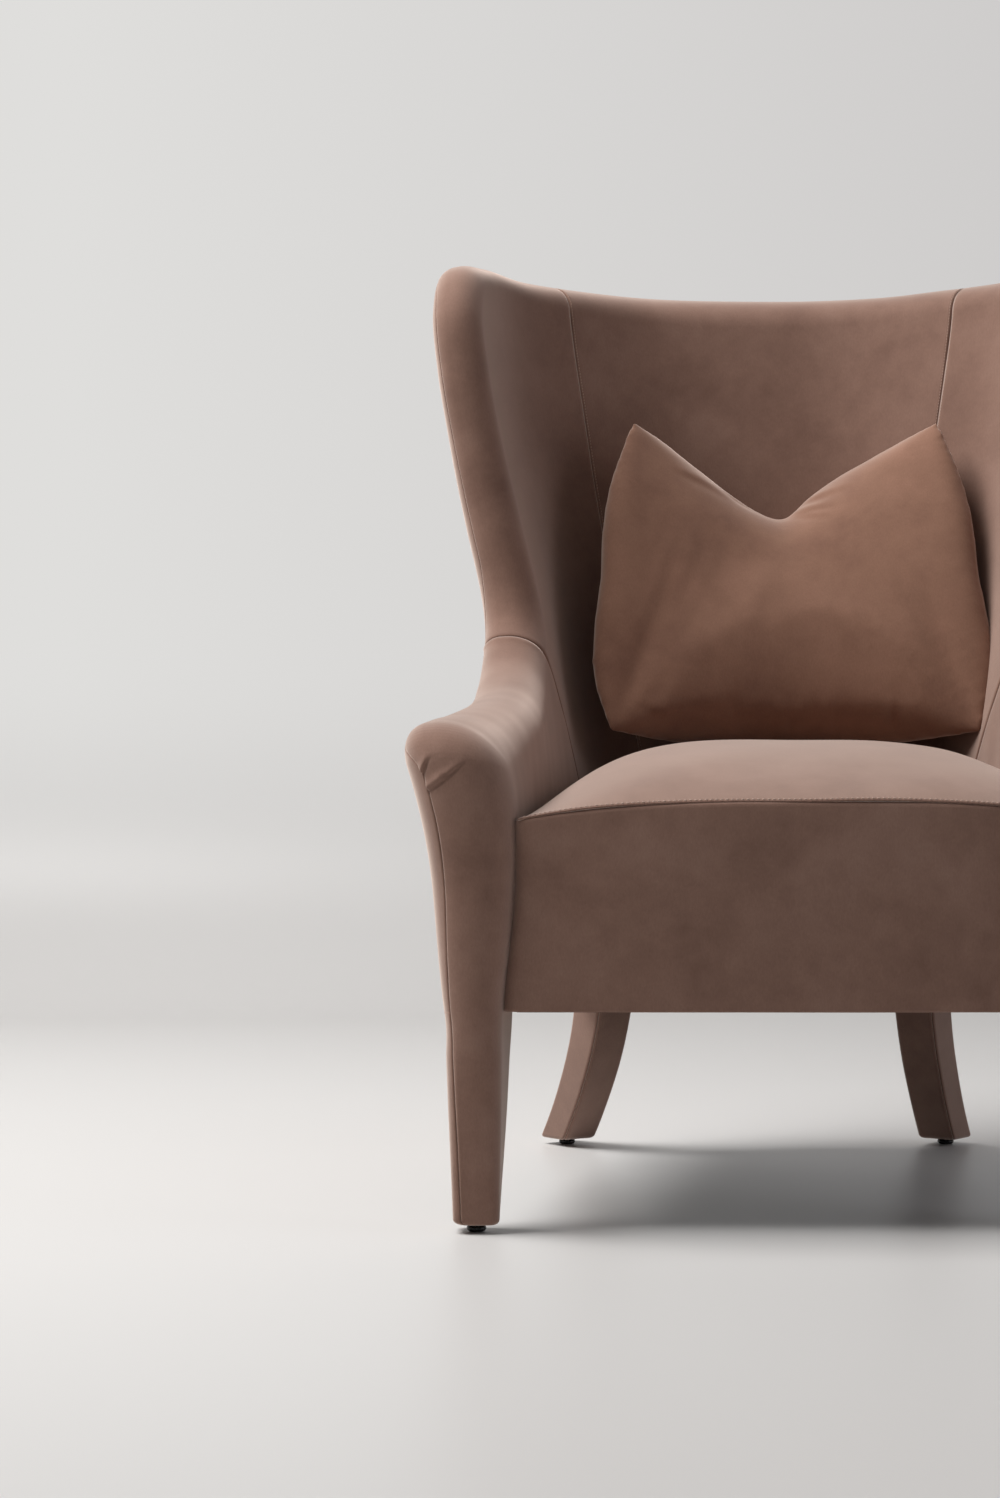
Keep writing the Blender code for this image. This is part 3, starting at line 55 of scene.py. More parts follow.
def linear(colour: str) -> tuple:
    """Turns an sRGB hex colour into linear RGBA.

    Args:
        colour: Six hex digits after a hash sign.

    Returns:
        Red, green, blue and an alpha of one.
    """
    parts = [int(colour[k:k + 2], 16) / 255 for k in (1, 3, 5)]
    return (*[p / 12.92 if p <= 0.04045 else ((p + 0.055) / 1.055) ** 2.4 for p in parts], 1.0)


def set_values(node: Node, values: dict) -> None:
    """Sets a node's sockets, by name or number, and its properties."""
    for key, value in values.items():
        if isinstance(key, int) or key in node.inputs:
            node.inputs[key].default_value = value
        else:
            setattr(node, key, value)


def add_node(tree: NodeTree, kind: str, settings: dict = None, links: dict = None) -> Node:
    """Adds a shader node with its settings and links.

    Args:
        tree: The material's or world's node tree.
        kind: Blender's name for the node's type.
        settings: Socket names or numbers, or properties of the node, with their values.
        links: Socket names or numbers with the output that feeds each.

    Returns:
        The new node.
    """
    node = tree.nodes.new(kind)
    set_values(node, settings or {})
    for key, source in (links or {}).items():
        tree.links.new(source, node.inputs[key])
    return node


def ramp_stops(ramp: Node, stops: tuple) -> None:
    """Sets a colour ramp's stops.

    Args:
        ramp: The colour ramp node.
        stops: Pairs of place and sRGB hex colour, in order.
    """
    elements = ramp.color_ramp.elements
    while len(elements) < len(stops):
        elements.new(0.5)
    for element, (place, colour) in zip(elements, stops):
        element.position = place
        element.color = linear(colour)


def start_material(name: str) -> tuple:
    """Starts a node material.

    Returns:
        The material, its node tree, its surface shader and the object coordinates.
    """
    made = bpy.data.materials.new(name)
    made.use_nodes = True
    tree = made.node_tree
    place = add_node(tree, "ShaderNodeTexCoord").outputs["Object"]
    return made, tree, tree.nodes["Principled BSDF"], place


@dataclass(frozen=True)
class Velvet:
    """Cut-pile cotton velvet with cloudy brushed marks. Besides the shader's own sheen, a painted sheen makes the base
    colour paler at grazing angles.
    """

    name: str
    pile: str = "#85675a"
    raised: str = "#8e7063"
    pressed: str = "#7a5d51"
    nap_mm: float = 120.0
    brush_mm: float = 26.0
    tuft_mm: float = 1.5
    sheen: float = 0.9
    glow: str = "#e6d4ca"
    # How much painted sheen the base colour takes at grazing angles
    painted_sheen: float = 0.5

    def make(self) -> Material:
        """Builds the material."""
        made, tree, shader, place = start_material(self.name)
        nap = add_node(tree, "ShaderNodeTexNoise", {"Scale": 1 / (self.nap_mm * MM), "Detail": 3.0,
                       "Roughness": 0.55, "Distortion": 0.6}, {"Vector": place})
        brush = add_node(tree, "ShaderNodeTexNoise", {"Scale": 1 / (self.brush_mm * MM), "Detail": 4.0,
                         "Roughness": 0.62}, {"Vector": place})
        both = add_node(tree, "ShaderNodeMix", {"data_type": "FLOAT", 0: 0.35},
                        {2: nap.outputs["Fac"], 3: brush.outputs["Fac"]})
        ramp = add_node(tree, "ShaderNodeValToRGB", links={"Fac": both.outputs[0]})
        ramp_stops(ramp, ((0.33, self.pressed), (0.50, self.pile), (0.68, self.raised)))
        # The tufts are about 0.4 mm on the real cloth and are drawn coarser so that they show
        lying = add_node(tree, "ShaderNodeMapping", {"Scale": (1.0, 1.0, 0.4)}, {"Vector": place})
        tufts = add_node(tree, "ShaderNodeTexNoise", {"Scale": 1 / (self.tuft_mm * MM), "Detail": 3.0,
                         "Roughness": 0.7}, {"Vector": lying.outputs["Vector"]})
        grain = add_node(tree, "ShaderNodeMix", {"data_type": "RGBA", "blend_type": "SOFT_LIGHT", 0: 0.22},
                         {6: ramp.outputs["Color"], 7: tufts.outputs["Fac"]})
        # Painted sheen: the base colour turns towards the pale sheen colour where the surface is seen at a grazing
        # angle
        facing = add_node(tree, "ShaderNodeLayerWeight", {"Blend": 0.5}).outputs["Facing"]
        painted_sheen = add_node(tree, "ShaderNodeMath", {"operation": "POWER", 1: 3.2}, {0: facing})
        share = add_node(tree, "ShaderNodeMath", {"operation": "MULTIPLY", 1: self.painted_sheen}, {0: painted_sheen.outputs[0]})
        base_with_painted_sheen = add_node(tree, "ShaderNodeMix", {"data_type": "RGBA", 7: linear(self.glow)},
                       {0: share.outputs[0], 6: grain.outputs[2]})
        tree.links.new(base_with_painted_sheen.outputs[2], shader.inputs["Base Color"])
        coarse = add_node(tree, "ShaderNodeBump", {"Strength": 0.25, "Distance": 0.5 * MM},
                          {"Height": brush.outputs["Fac"]})
        fine = add_node(tree, "ShaderNodeBump", {"Strength": 0.5, "Distance": 0.3 * MM},
                        {"Height": tufts.outputs["Fac"], "Normal": coarse.outputs["Normal"]})
        tree.links.new(fine.outputs["Normal"], shader.inputs["Normal"])
        set_values(shader, {"Roughness": 0.82, "Specular IOR Level": 0.18, "Sheen Weight": self.sheen,
                            "Sheen Roughness": 0.42, "Sheen Tint": linear(self.glow)})
        return made


@dataclass(frozen=True)
class Finish:
    """A material with one pattern, which gives the surface its colours and its relief."""

    name: str = ""
    stops: tuple = ()
    roughness: float = 0.9
    bump: float = 0.0
    bump_mm: float = 0.3
    metallic: float = 0.0

    def pattern(self, tree: NodeTree, place: NodeSocket) -> NodeSocket:
        """Adds the pattern's nodes and gives their output."""
        raise NotImplementedError

    def make(self) -> Material:
        """Builds the material."""
        made, tree, shader, place = start_material(self.name)
        height = self.pattern(tree, place)
        ramp = add_node(tree, "ShaderNodeValToRGB", links={"Fac": height})
        ramp_stops(ramp, self.stops)
        tree.links.new(ramp.outputs["Color"], shader.inputs["Base Color"])
        if self.bump:
            bump = add_node(tree, "ShaderNodeBump", {"Strength": self.bump, "Distance": self.bump_mm * MM},
                            {"Height": height})
            tree.links.new(bump.outputs["Normal"], shader.inputs["Normal"])
        set_values(shader, {"Roughness": self.roughness, "Metallic": self.metallic})
        return made


@dataclass(frozen=True)
class Thread(Finish):
    """Bonded polyester sewing thread, paler than the cloth and slightly glossy, with the twist of its strands."""

    name: str = "thread_polyester"
    stops: tuple = ((0.0, "#a88a7a"), (1.0, "#c6ad9f"))
    roughness: float = 0.55
    twist_mm: float = 2.4

    def pattern(self, tree: NodeTree, place: NodeSocket) -> NodeSocket:
        """Bands across the thread."""
        return add_node(tree, "ShaderNodeTexWave", {"Scale": 1 / (self.twist_mm * MM), "Distortion": 1.0},
                        {"Vector": place}).outputs["Fac"]


@dataclass(frozen=True)
class Beech(Finish):
    """Planed beech: fine straight grain with short darker flecks, left raw under the cloth."""

    name: str = "beech_planed"
    stops: tuple = ((0.35, "#a97f55"), (0.6, "#cba57a"), (0.75, "#d8b68c"))
    roughness: float = 0.58
    bump: float = 0.25
    bump_mm: float = 0.2
    grain_mm: float = 3.0

    def pattern(self, tree: NodeTree, place: NodeSocket) -> NodeSocket:
        """Noise drawn out along the grain."""
        long = add_node(tree, "ShaderNodeMapping", {"Scale": (1.0, 1.0, 0.08)}, {"Vector": place})
        return add_node(tree, "ShaderNodeTexNoise", {"Scale": 1 / (self.grain_mm * MM), "Detail": 5.0,
                        "Roughness": 0.6}, {"Vector": long.outputs["Vector"]}).outputs["Fac"]


@dataclass(frozen=True)
class Cellular(Finish):
    """Foam or wadding: a matt, slightly mottled surface with small cells or tangled fibres."""

    roughness: float = 0.95
    bump: float = 0.4
    bump_mm: float = 0.4
    cell_mm: float = 1.6

    def pattern(self, tree: NodeTree, place: NodeSocket) -> NodeSocket:
        """Cells."""
        return add_node(tree, "ShaderNodeTexVoronoi", {"Scale": 1 / (self.cell_mm * MM)},
                        {"Vector": place}).outputs["Distance"]


@dataclass(frozen=True)
class PlainWeave(Finish):
    """Jute, rubber webbing or polypropylene felt: two sets of threads that cross at right angles."""

    bump: float = 0.4
    thread_mm: float = 2.2

    def pattern(self, tree: NodeTree, place: NodeSocket) -> NodeSocket:
        """Two sets of bands, multiplied."""
        warp, weft = (add_node(tree, "ShaderNodeTexWave", {"bands_direction": axis, "Detail Scale": 2.0,
                      "Scale": 0.5 / (self.thread_mm * MM) / math.pi, "Distortion": 0.8},
                      {"Vector": place}).outputs["Fac"] for axis in ("X", "Y"))
        return add_node(tree, "ShaderNodeMath", {"operation": "MULTIPLY"}, {0: warp, 1: weft}).outputs["Value"]


@dataclass(frozen=True)
class Steel(Finish):
    """Drawn steel with an oiled or plated surface: metallic, with faint dark patches."""

    metallic: float = 1.0
    patch_mm: float = 9.0

    def pattern(self, tree: NodeTree, place: NodeSocket) -> NodeSocket:
        """Soft patches."""
        return add_node(tree, "ShaderNodeTexNoise", {"Scale": 1 / (self.patch_mm * MM), "Detail": 3.0},
                        {"Vector": place}).outputs["Fac"]


@dataclass(frozen=True)
class Nylon:
    """Black injection-moulded nylon: smooth and glossy, with light scuffs that dull it in places."""

    name: str = "nylon_moulded"

    def make(self) -> Material:
        """Builds the material."""
        made, tree, shader, place = start_material(self.name)
        scuffs = add_node(tree, "ShaderNodeTexNoise", {"Scale": 1 / (2.5 * MM), "Detail": 4.0}, {"Vector": place})
        dull = add_node(tree, "ShaderNodeMapRange", {"From Min": 0.3, "From Max": 0.7, "To Min": 0.16,
                        "To Max": 0.34}, {"Value": scuffs.outputs["Fac"]})
        tree.links.new(dull.outputs["Result"], shader.inputs["Roughness"])
        set_values(shader, {"Base Color": linear("#0f0f10"), "IOR": 1.53})
        return made


class Slot(Enum):
    """Names of the record's material slots; no piece in this script takes its finish from them."""

    VELVET = "velvet"
    CUSHION = "cushion_velvet"
    GLIDE = "glide_plastic"


class Side(Enum):
    """The chair's two sides, with the sign of X on each."""

    LEFT = -1
    RIGHT = 1

    @property
    def word(self) -> str:
        """The side's name as the nodes write it."""
        return self.name.lower()

    def of(self, places: np.ndarray) -> np.ndarray:
        """Places of the left side, mirrored where this is the right side."""
        return places * np.array([-self.value, 1, 1])


# Meshes


def unit(vectors: np.ndarray) -> np.ndarray:
    """The vectors with a length of one."""
    return vectors / np.maximum(np.linalg.norm(vectors, axis=-1, keepdims=True), 1e-12)


def smooth(share: np.ndarray) -> np.ndarray:
    """A share from 0 to 1, eased at both ends."""
    return share * share * (3 - 2 * share)


def lengths_along(line: np.ndarray) -> np.ndarray:
    """The distance of each place of a broken line from its start."""
    return np.concatenate([[0], np.cumsum(np.linalg.norm(np.diff(line, axis=0), axis=1))])


def nearest_on(line: np.ndarray, points: np.ndarray) -> tuple:
    """Finds where a broken line comes nearest to each point.

    Args:
        line: The line's places, in two or three dimensions.
        points: Points in as many dimensions.

    Returns:
        The span's number, the share along it and the way from the line to the point, for each point.
    """
    span = np.diff(line, axis=0)
    reach = points[:, None] - line[None, :-1]
    t = np.clip((reach * span).sum(2) / (span * span).sum(1), 0, 1)
    off = reach - t[..., None] * span
    k = np.linalg.norm(off, axis=2).argmin(axis=1)
    row = np.arange(len(points))
    return k, t[row, k], off[row, k]


def grid_normals(places: np.ndarray, outward) -> np.ndarray:
    """Directions at right angles to a grid of places, on the side that `outward` is on."""
    made = unit(np.cross(np.gradient(places, axis=1), np.gradient(places, axis=0)))
    return made if (made * np.asarray(outward)).sum() > 0 else -made


def add_sheet(made: BMesh, places: np.ndarray, outward) -> None:
    """Adds a grid to a mesh and moves its points into place.

    Args:
        made: The mesh that grows.
        places: Rows by columns by three, in metres.
        outward: A direction, or one for each place, that the face of the cloth looks along.
    """
    rows, columns = places.shape[:2]
    new = bmesh.ops.create_grid(made, x_segments=columns - 1, y_segments=rows - 1, size=0.5)["verts"]
    for vert, place in zip(new, places.reshape(-1, 3).tolist()):
        vert.co = place
    turned = np.cross(np.gradient(places, axis=1), np.gradient(places, axis=0))
    if (turned * np.asarray(outward)).sum() < 0:
        bmesh.ops.reverse_faces(made, faces=list({face for vert in new for face in vert.link_faces}))


def cloth(name: str, *sheets: tuple, weld: bool = False) -> Object:
    """Makes a smooth piece from one or more grids.

    Args:
        name: The piece's name.
        sheets: Pairs of places and outward directions.
        weld: Whether edges that lie on each other are joined, as round a leg.

    Returns:
        The new object, at the origin.
    """
    made = bmesh.new()
    for places, outward in sheets:
        add_sheet(made, places, outward)
    if weld:
        bmesh.ops.remove_doubles(made, verts=made.verts, dist=0.02 * MM)
    return finished(name, made)


def finished(name: str, made: BMesh) -> Object:
    """Turns a bmesh into a smooth object in the scene."""
    mesh = bpy.data.meshes.new(name)
    made.to_mesh(mesh)
    made.free()
    mesh.polygons.foreach_set("use_smooth", [True] * len(mesh.polygons))
    obj = bpy.data.objects.new(name, mesh)
    bpy.context.scene.collection.objects.link(obj)
    return obj


def thicken(obj: Object) -> Object:
    """Gives a sheet the thickness of velvet, behind its face."""
    wall = obj.modifiers.new("thickness", "SOLIDIFY")
    wall.thickness = VELVET_THICK
    wall.offset = -1
    return obj


def dress(obj: Object, look: Material, nodes: tuple = (),
          body: str = CHAIR) -> Object:
    """Gives a piece its material and says what it rides on and stands for."""
    obj.data.materials.append(look)
    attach(obj, body)
    if nodes:
        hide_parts(*nodes)
    LOG.info("%s: %d faces", obj.name, len(obj.data.polygons))
    return obj


def points_of(piece: Object) -> np.ndarray:
    """The places of a piece's points."""
    flat = np.empty(len(piece.data.vertices) * 3)
    piece.data.vertices.foreach_get("co", flat)
    return flat.reshape(-1, 3)


def set_points(piece: Object, places: np.ndarray) -> None:
    """Moves a piece's points."""
    piece.data.vertices.foreach_set("co", np.ascontiguousarray(places, float).ravel())
    piece.data.update()


def apply_all(piece: Object) -> None:
    """Makes the result of a piece's modifiers its own mesh and takes the modifiers off."""
    shaped = piece.evaluated_get(bpy.context.evaluated_depsgraph_get())
    mesh = bpy.data.meshes.new_from_object(shaped)
    piece.modifiers.clear()
    old, piece.data = piece.data, mesh
    bpy.data.meshes.remove(old)
    mesh.name = piece.name
    mesh.polygons.foreach_set("use_smooth", [True] * len(mesh.polygons))


@dataclass(frozen=True)
class Fold:
    """A crease, pleat or sewn line in cloth, along a line of places.

    The side to the left of the line, seen from outside, is raised by `lift`; the other side drops by `drop`.
    """

    line: tuple
    lift: float
    wide: float
    drop: float
    taper: tuple
    narrow: float = 2 * MM

    def rise(self, places: np.ndarray, normals: np.ndarray) -> np.ndarray:
        """How far each place moves along its normal.

        Args:
            places: Any number of rows of three.
            normals: The outward direction at each place.

        Returns:
            One distance for each place.
        """
        line = np.asarray(self.line, float)
        knots = np.arange(len(line))
        line = knot_weights(knots, np.linspace(0, knots[-1], 6 * len(line))) @ line
        low, high = line.min(0) - 5 * self.wide, line.max(0) + 5 * self.wide
        near = np.nonzero(((places > low) & (places < high)).all(axis=1))[0]
        result = np.zeros(len(places))
        if not len(near):
            return result
        length = lengths_along(line)
        k, t, away = nearest_on(line, places[near])
        along = unit(np.diff(line, axis=0)[k])
        side = (away * unit(np.cross(normals[near], along))).sum(1)
        beyond = (away * along).sum(1)
        share = (length[k] + t * (length[k + 1] - length[k])) / length[-1]
        fade = np.exp(-(beyond / self.wide) ** 2)
        for end, part in zip((share, 1 - share), self.taper):
            if part > 0:
                fade = fade * np.clip(end / part, 0, 1) ** 0.8
        step = 1 / (1 + np.exp(-side / (0.25 * self.narrow)))
        raised = self.lift * np.exp(-(side / self.wide) ** 2) * step
        sunk = self.drop * np.exp(-((side + 0.5 * self.narrow) / self.narrow) ** 2)
        result[near] = fade * (raised - sunk)
        return result


@dataclass(frozen=True)
class Ripple:
    """Soft unevenness of stretched cloth: waves that cross, with their own size along each axis."""

    height: float
    size: tuple
    seed: float
    waves: int = 7
    spread: float = 3.7

    def rise(self, places: np.ndarray, normals: np.ndarray) -> np.ndarray:
        """How far each place moves along its normal."""
        scaled = places / np.asarray(self.size)
        total = np.zeros(len(places))
        for n in range(self.waves):
            turn = 2.4 * n + self.seed
            wave = np.array((math.cos(turn), math.sin(1.7 * turn), math.cos(0.6 * turn + 1.0)))
            total += np.sin(scaled @ (wave * (1.5 + 0.45 * n)) + 1.3 * n + 5.0 * self.seed)
        return self.height * total / self.spread


def relieved(places: np.ndarray, normals: np.ndarray, reliefs: list) -> np.ndarray:
    """Moves a grid of places by the sum of its reliefs."""
    flat, out = places.reshape(-1, 3), normals.reshape(-1, 3)
    rise = sum((relief.rise(flat, out) for relief in reliefs), np.zeros(len(flat)))
    return (flat + rise[:, None] * out).reshape(places.shape)


def hemmed(places: np.ndarray, normals: np.ndarray, sides: str, depth: float, width: float) -> np.ndarray:
    """Rounds a sheet down into the seams along the named sides of its grid.

    Args:
        places: The grid.
        normals: Its outward directions.
        sides: Any of the letters f, l (first and last row) and a, z (first and last column).
        depth: How far the edge drops.
        width: How wide the rounded strip is.

    Returns:
        The grid with its edges turned in.
    """
    drop = np.zeros(places.shape[:2])
    for letter, axis, flip in (("f", 0, False), ("l", 0, True), ("a", 1, False), ("z", 1, True)):
        if letter not in sides:
            continue
        line = np.flip(places, axis) if flip else places
        step = np.linalg.norm(np.diff(line, axis=axis), axis=2)
        pad = np.zeros_like(np.take(step, [0], axis=axis))
        reach = np.concatenate([pad, np.cumsum(step, axis=axis)], axis=axis)
        share = np.clip(1 - reach / width, 0, 1)
        fall = 1 - np.sqrt(1 - share**2)
        drop = np.maximum(drop, np.flip(fall, axis) if flip else fall)
    return places - depth * drop[..., None] * normals


def line_inside(places: np.ndarray, axis: int, last: bool, distance: float) -> np.ndarray:
    """A line on a grid at a distance from one of its sides.

    Args:
        places: The grid.
        axis: 0 for the first or last row, 1 for the first or last column.
        last: Whether the side is the last one.
        distance: How far from the side, along the cloth.

    Returns:
        One place for each column or row.
    """
    grid = places if axis == 0 else places.swapaxes(0, 1)
    grid = grid[::-1] if last else grid
    result = []
    for k in range(grid.shape[1]):
        line = grid[:, k]
        reach = lengths_along(line)
        result.append([np.interp(distance, reach, line[:, c]) for c in range(3)])
    return np.array(result)


@dataclass(frozen=True)
class Stitching:
    """A row of lockstitches in thick thread."""

    pitch: float
    length: float
    width: float
    height: float = 0.6 * MM

    def sew(self, name: str, line: np.ndarray, normals: np.ndarray, look: Material) -> Object:
        """Sets stitches along a line on the cloth.

        Args:
            name: The piece's name.
            line: Places on the cloth.
            normals: Outward directions at those places.
            look: The thread's material.

        Returns:
            The stitches as one object.
        """
        reach = lengths_along(line)
        made = bmesh.new()
        for at in np.arange(self.pitch / 2, reach[-1], self.pitch):
            here, ahead, up = (
                Vector([np.interp(s, reach, table[:, k]) for k in range(3)])
                for s, table in ((at, line), (at + self.pitch / 4, line), (at, normals))
            )
            along = (ahead - here).normalized()
            up = (up - along * up.dot(along)).normalized()
            turn = Matrix((along, up.cross(along), up)).transposed().to_4x4()
            size = Matrix.Diagonal((self.length / 2, self.width / 2, self.height / 2, 1))
            bmesh.ops.create_uvsphere(made, u_segments=6, v_segments=4, radius=1,
                                      matrix=Matrix.Translation(here + up * self.height * 0.1) @ turn @ size)
        return dress(finished(name, made), look)


# The wall


def knot_weights(knots: np.ndarray, at: np.ndarray) -> np.ndarray:
    """For each value of `at`, how much each knot counts on a smooth curve through them all."""
    knots = np.asarray(knots, float)
    at = np.atleast_1d(np.asarray(at, float))
    share = np.eye(len(knots))
    slopes = np.gradient(share, knots, axis=0)
    held = np.clip(at, knots[0], knots[-1])
    i = np.clip(np.searchsorted(knots, held) - 1, 0, len(knots) - 2)
    span = (knots[i + 1] - knots[i])[:, None]
    t = (held - knots[i])[:, None] / span
    curve = ((1 + 2 * t) * (1 - t) ** 2 * share[i] + t * (1 - t) ** 2 * span * slopes[i]
             + t * t * (3 - 2 * t) * share[i + 1] + t * t * (t - 1) * span * slopes[i + 1])
    end = np.where(at > knots[-1], len(knots) - 1, 0)
    return curve + (at - held)[:, None] * slopes[end]


def mirrored(shares: tuple, sign: int) -> np.ndarray:
    """A table's rows continued past the middle of the back."""
    return np.array([list(row) + [sign * v for v in row[-2::-1]] for row in shares])


class Wall:
    """The form of arms, wings and back: one curved wall, given on a flat pattern of run and height."""

    HALF_WIDTH, HALF_DEPTH = 0.417, 0.395
    RAIL_Z, DECK_Z, SEAM_Z, ARM_TOP_Z, WAIST_Z, WING_Z, CREST_Z = 0.220, 0.385, 0.431, 0.512, 0.620, 0.870, 1.050
    RUN, WING_RUN = 0.860, 0.410
    ARM_CORNER = 0.055
    COLUMNS = (0.0, 0.235, 0.477, 0.720, 0.860, 1.0)
    X_SHARES = ((0.838, 0.722, 0.606, 0.463, 0.245, 0.0), (0.866, 0.754, 0.648, 0.496, 0.259, 0.0),
                (1.062, 0.832, 0.731, 0.552, 0.295, 0.0), (1.050, 0.928, 0.860, 0.628, 0.332, 0.0),
                (1.010, 0.960, 0.910, 0.668, 0.355, 0.0))
    Y_SHARES = ((-1.0, -0.460, 0.070, 0.520, 0.625, 0.650), (-1.0, -0.460, 0.070, 0.535, 0.665, 0.700),
                (-1.0, -0.460, 0.080, 0.570, 0.730, 0.775), (-1.0, -0.460, 0.094, 0.602, 0.805, 0.860),
                (-1.0, -0.460, 0.105, 0.620, 0.855, 0.9175))
    THICKNESS = 0.100
    HALF_SHARES = ((0.296, 0.319, 0.325, 0.350, 0.350, 0.350), (0.519, 0.434, 0.371, 0.363, 0.359, 0.359),
                   (0.550, 0.467, 0.350, 0.350, 0.367, 0.379), (0.535, 0.426, 0.311, 0.327, 0.368, 0.394),
                   (0.500, 0.375, 0.279, 0.309, 0.367, 0.400))
    ROLL_SHARE = 2.2
    ARM_EDGE = ((0.30, 0.08), (0.52, 0.22), (0.74, 0.45), (0.89, 0.75), (0.97, 1.05))
    WING_EDGE = ((0.480, 0.28), (0.478, 0.50), (0.470, 0.70), (0.476, 0.86), (0.515, 0.973),
                 (0.590, 1.006), (0.700, 1.003), (0.860, 1.001), (1.0, 1.0))

    def __init__(self) -> None:
        """Sets up the tables and the free edge."""
        self.columns = self.RUN * np.array(list(self.COLUMNS) + [2 - s for s in self.COLUMNS[-2::-1]])
        self.x = -self.HALF_WIDTH * mirrored(self.X_SHARES, -1)
        self.y = self.HALF_DEPTH * mirrored(self.Y_SHARES, 1)
        self.half = self.THICKNESS * mirrored(self.HALF_SHARES, 1)
        self.levels = (self.RAIL_Z, self.SEAM_Z, self.WAIST_Z, self.WING_Z, self.CREST_Z)
        turn = [math.radians(a) for a in (0, 22, 45, 68, 90)]
        top = self.ARM_TOP_Z - self.ARM_CORNER
        points = [(0, 0), (0, self.RAIL_Z / 2), (0, self.RAIL_Z), (0, (self.RAIL_Z + top) / 2)]
        points += [(self.ARM_CORNER * (1 - math.cos(a)), top + self.ARM_CORNER * math.sin(a)) for a in turn]
        points += [(r * self.WING_RUN, self.ARM_TOP_Z + h * (self.WAIST_Z - self.ARM_TOP_Z))
                   for r, h in self.ARM_EDGE]
        points += [(r * self.RUN, self.WAIST_Z + h * (self.CREST_Z - self.WAIST_Z)) for r, h in self.WING_EDGE]
        points += [(2 * self.RUN - r, z) for r, z in points[-2:-9:-1]]
        points = np.array(points, float)
        knots = lengths_along(points)
        self.edge = knot_weights(knots, np.linspace(0, knots[-1], 480)) @ points
        self.length = lengths_along(self.edge)

    def values(self, tables: tuple, run: np.ndarray, z: np.ndarray) -> list:
        """Each table's value at points of the pattern."""
        across, up = knot_weights(self.columns, run), knot_weights(self.levels, z)
        return [np.einsum("nl,lc,nc->n", up, table, across) for table in tables]

    def middle(self, pattern: np.ndarray) -> tuple:
        """Middle of the wall, its half thickness and its inward direction, at points of the pattern."""
        run, z = pattern[:, 0], pattern[:, 1]
        step = self.RUN * 1e-4
        x, y, half = self.values((self.x, self.y, self.half), run, z)
        x2, y2 = self.values((self.x, self.y), run + step, z)
        x1, y1 = self.values((self.x, self.y), run - step, z)
        inward = unit(np.stack([y2 - y1, x1 - x2, np.zeros_like(x)], axis=1))
        return np.stack([x, y, z], axis=1), half, inward

    def edge_at(self, lengths: np.ndarray) -> tuple:
        """Points on the free edge at these distances along it, and the direction into the wall there."""
        lengths = np.asarray(lengths, float)
        reach = self.length[-1] / len(self.edge)
        place, ahead, behind = (
            np.stack([np.interp(lengths + s, self.length, self.edge[:, k]) for k in (0, 1)], axis=1)
            for s in (0, reach, -reach)
        )
        along = unit(ahead - behind)
        return place, np.stack([along[:, 1], -along[:, 0]], axis=1)

    def length_where(self, coordinate: int, value: float, start: float) -> float:
        """Distance along the free edge at which a coordinate first passes the value, after `start`."""
        after = np.nonzero((self.length > start) & (self.edge[:, coordinate] >= value))[0][0]
        low, high = self.edge[after - 1, coordinate], self.edge[after, coordinate]
        share = (value - low) / (high - low)
        return self.length[after - 1] + share * (self.length[after] - self.length[after - 1])

    def nearest_edge(self, pattern: np.ndarray) -> tuple:
        """Signed distance of each pattern point to the free edge, plus inside, and the nearest edge point."""
        start, span = self.edge[:-1], np.diff(self.edge, axis=0)
        signed, nearest = [], []
        for part in np.array_split(pattern, len(pattern) // 4000 + 1):
            k, t, off = nearest_on(self.edge, part)
            cross = span[k, 0] * off[:, 1] - span[k, 1] * off[:, 0]
            nearest.append(start[k] + t[:, None] * span[k])
            signed.append(np.where(cross <= 0, 1.0, -1.0) * np.linalg.norm(off, axis=1))
        return np.concatenate(signed), np.concatenate(nearest)

    def skin(self, pattern: np.ndarray, outer: np.ndarray = False) -> np.ndarray:
        """The padded skin at pattern points. Points past the free edge lie on the outer face."""
        signed, near = self.nearest_edge(pattern)
        inside = np.where((signed >= 0)[:, None], pattern, 2 * near - pattern)
        middle, half, inward = self.middle(inside)
        radius = self.middle(near)[1]
        closeness = 1 - np.clip(np.abs(signed) / radius, 0, 1)
        roll = (1 - closeness**self.ROLL_SHARE) ** (1 / self.ROLL_SHARE)
        side = np.where(outer, -1.0, np.sign(signed))
        return middle + (side * half * roll)[:, None] * inward

    def grid(self, pattern: np.ndarray, outer: int = 0) -> tuple:
        """Places and outward directions over a grid of pattern points.

        Args:
            pattern: Rows by columns by two.
            outer: How many of the first rows lie on the outer face.

        Returns:
            Two arrays, rows by columns by three.
        """
        flat = pattern.reshape(-1, 2)
        places = self.skin(flat, np.repeat(np.arange(len(pattern)) < outer, pattern.shape[1]))
        away = places - self.middle(flat)[0]
        shape = (*pattern.shape[:2], 3)
        places = places.reshape(shape)
        return places, grid_normals(places, away.reshape(shape))


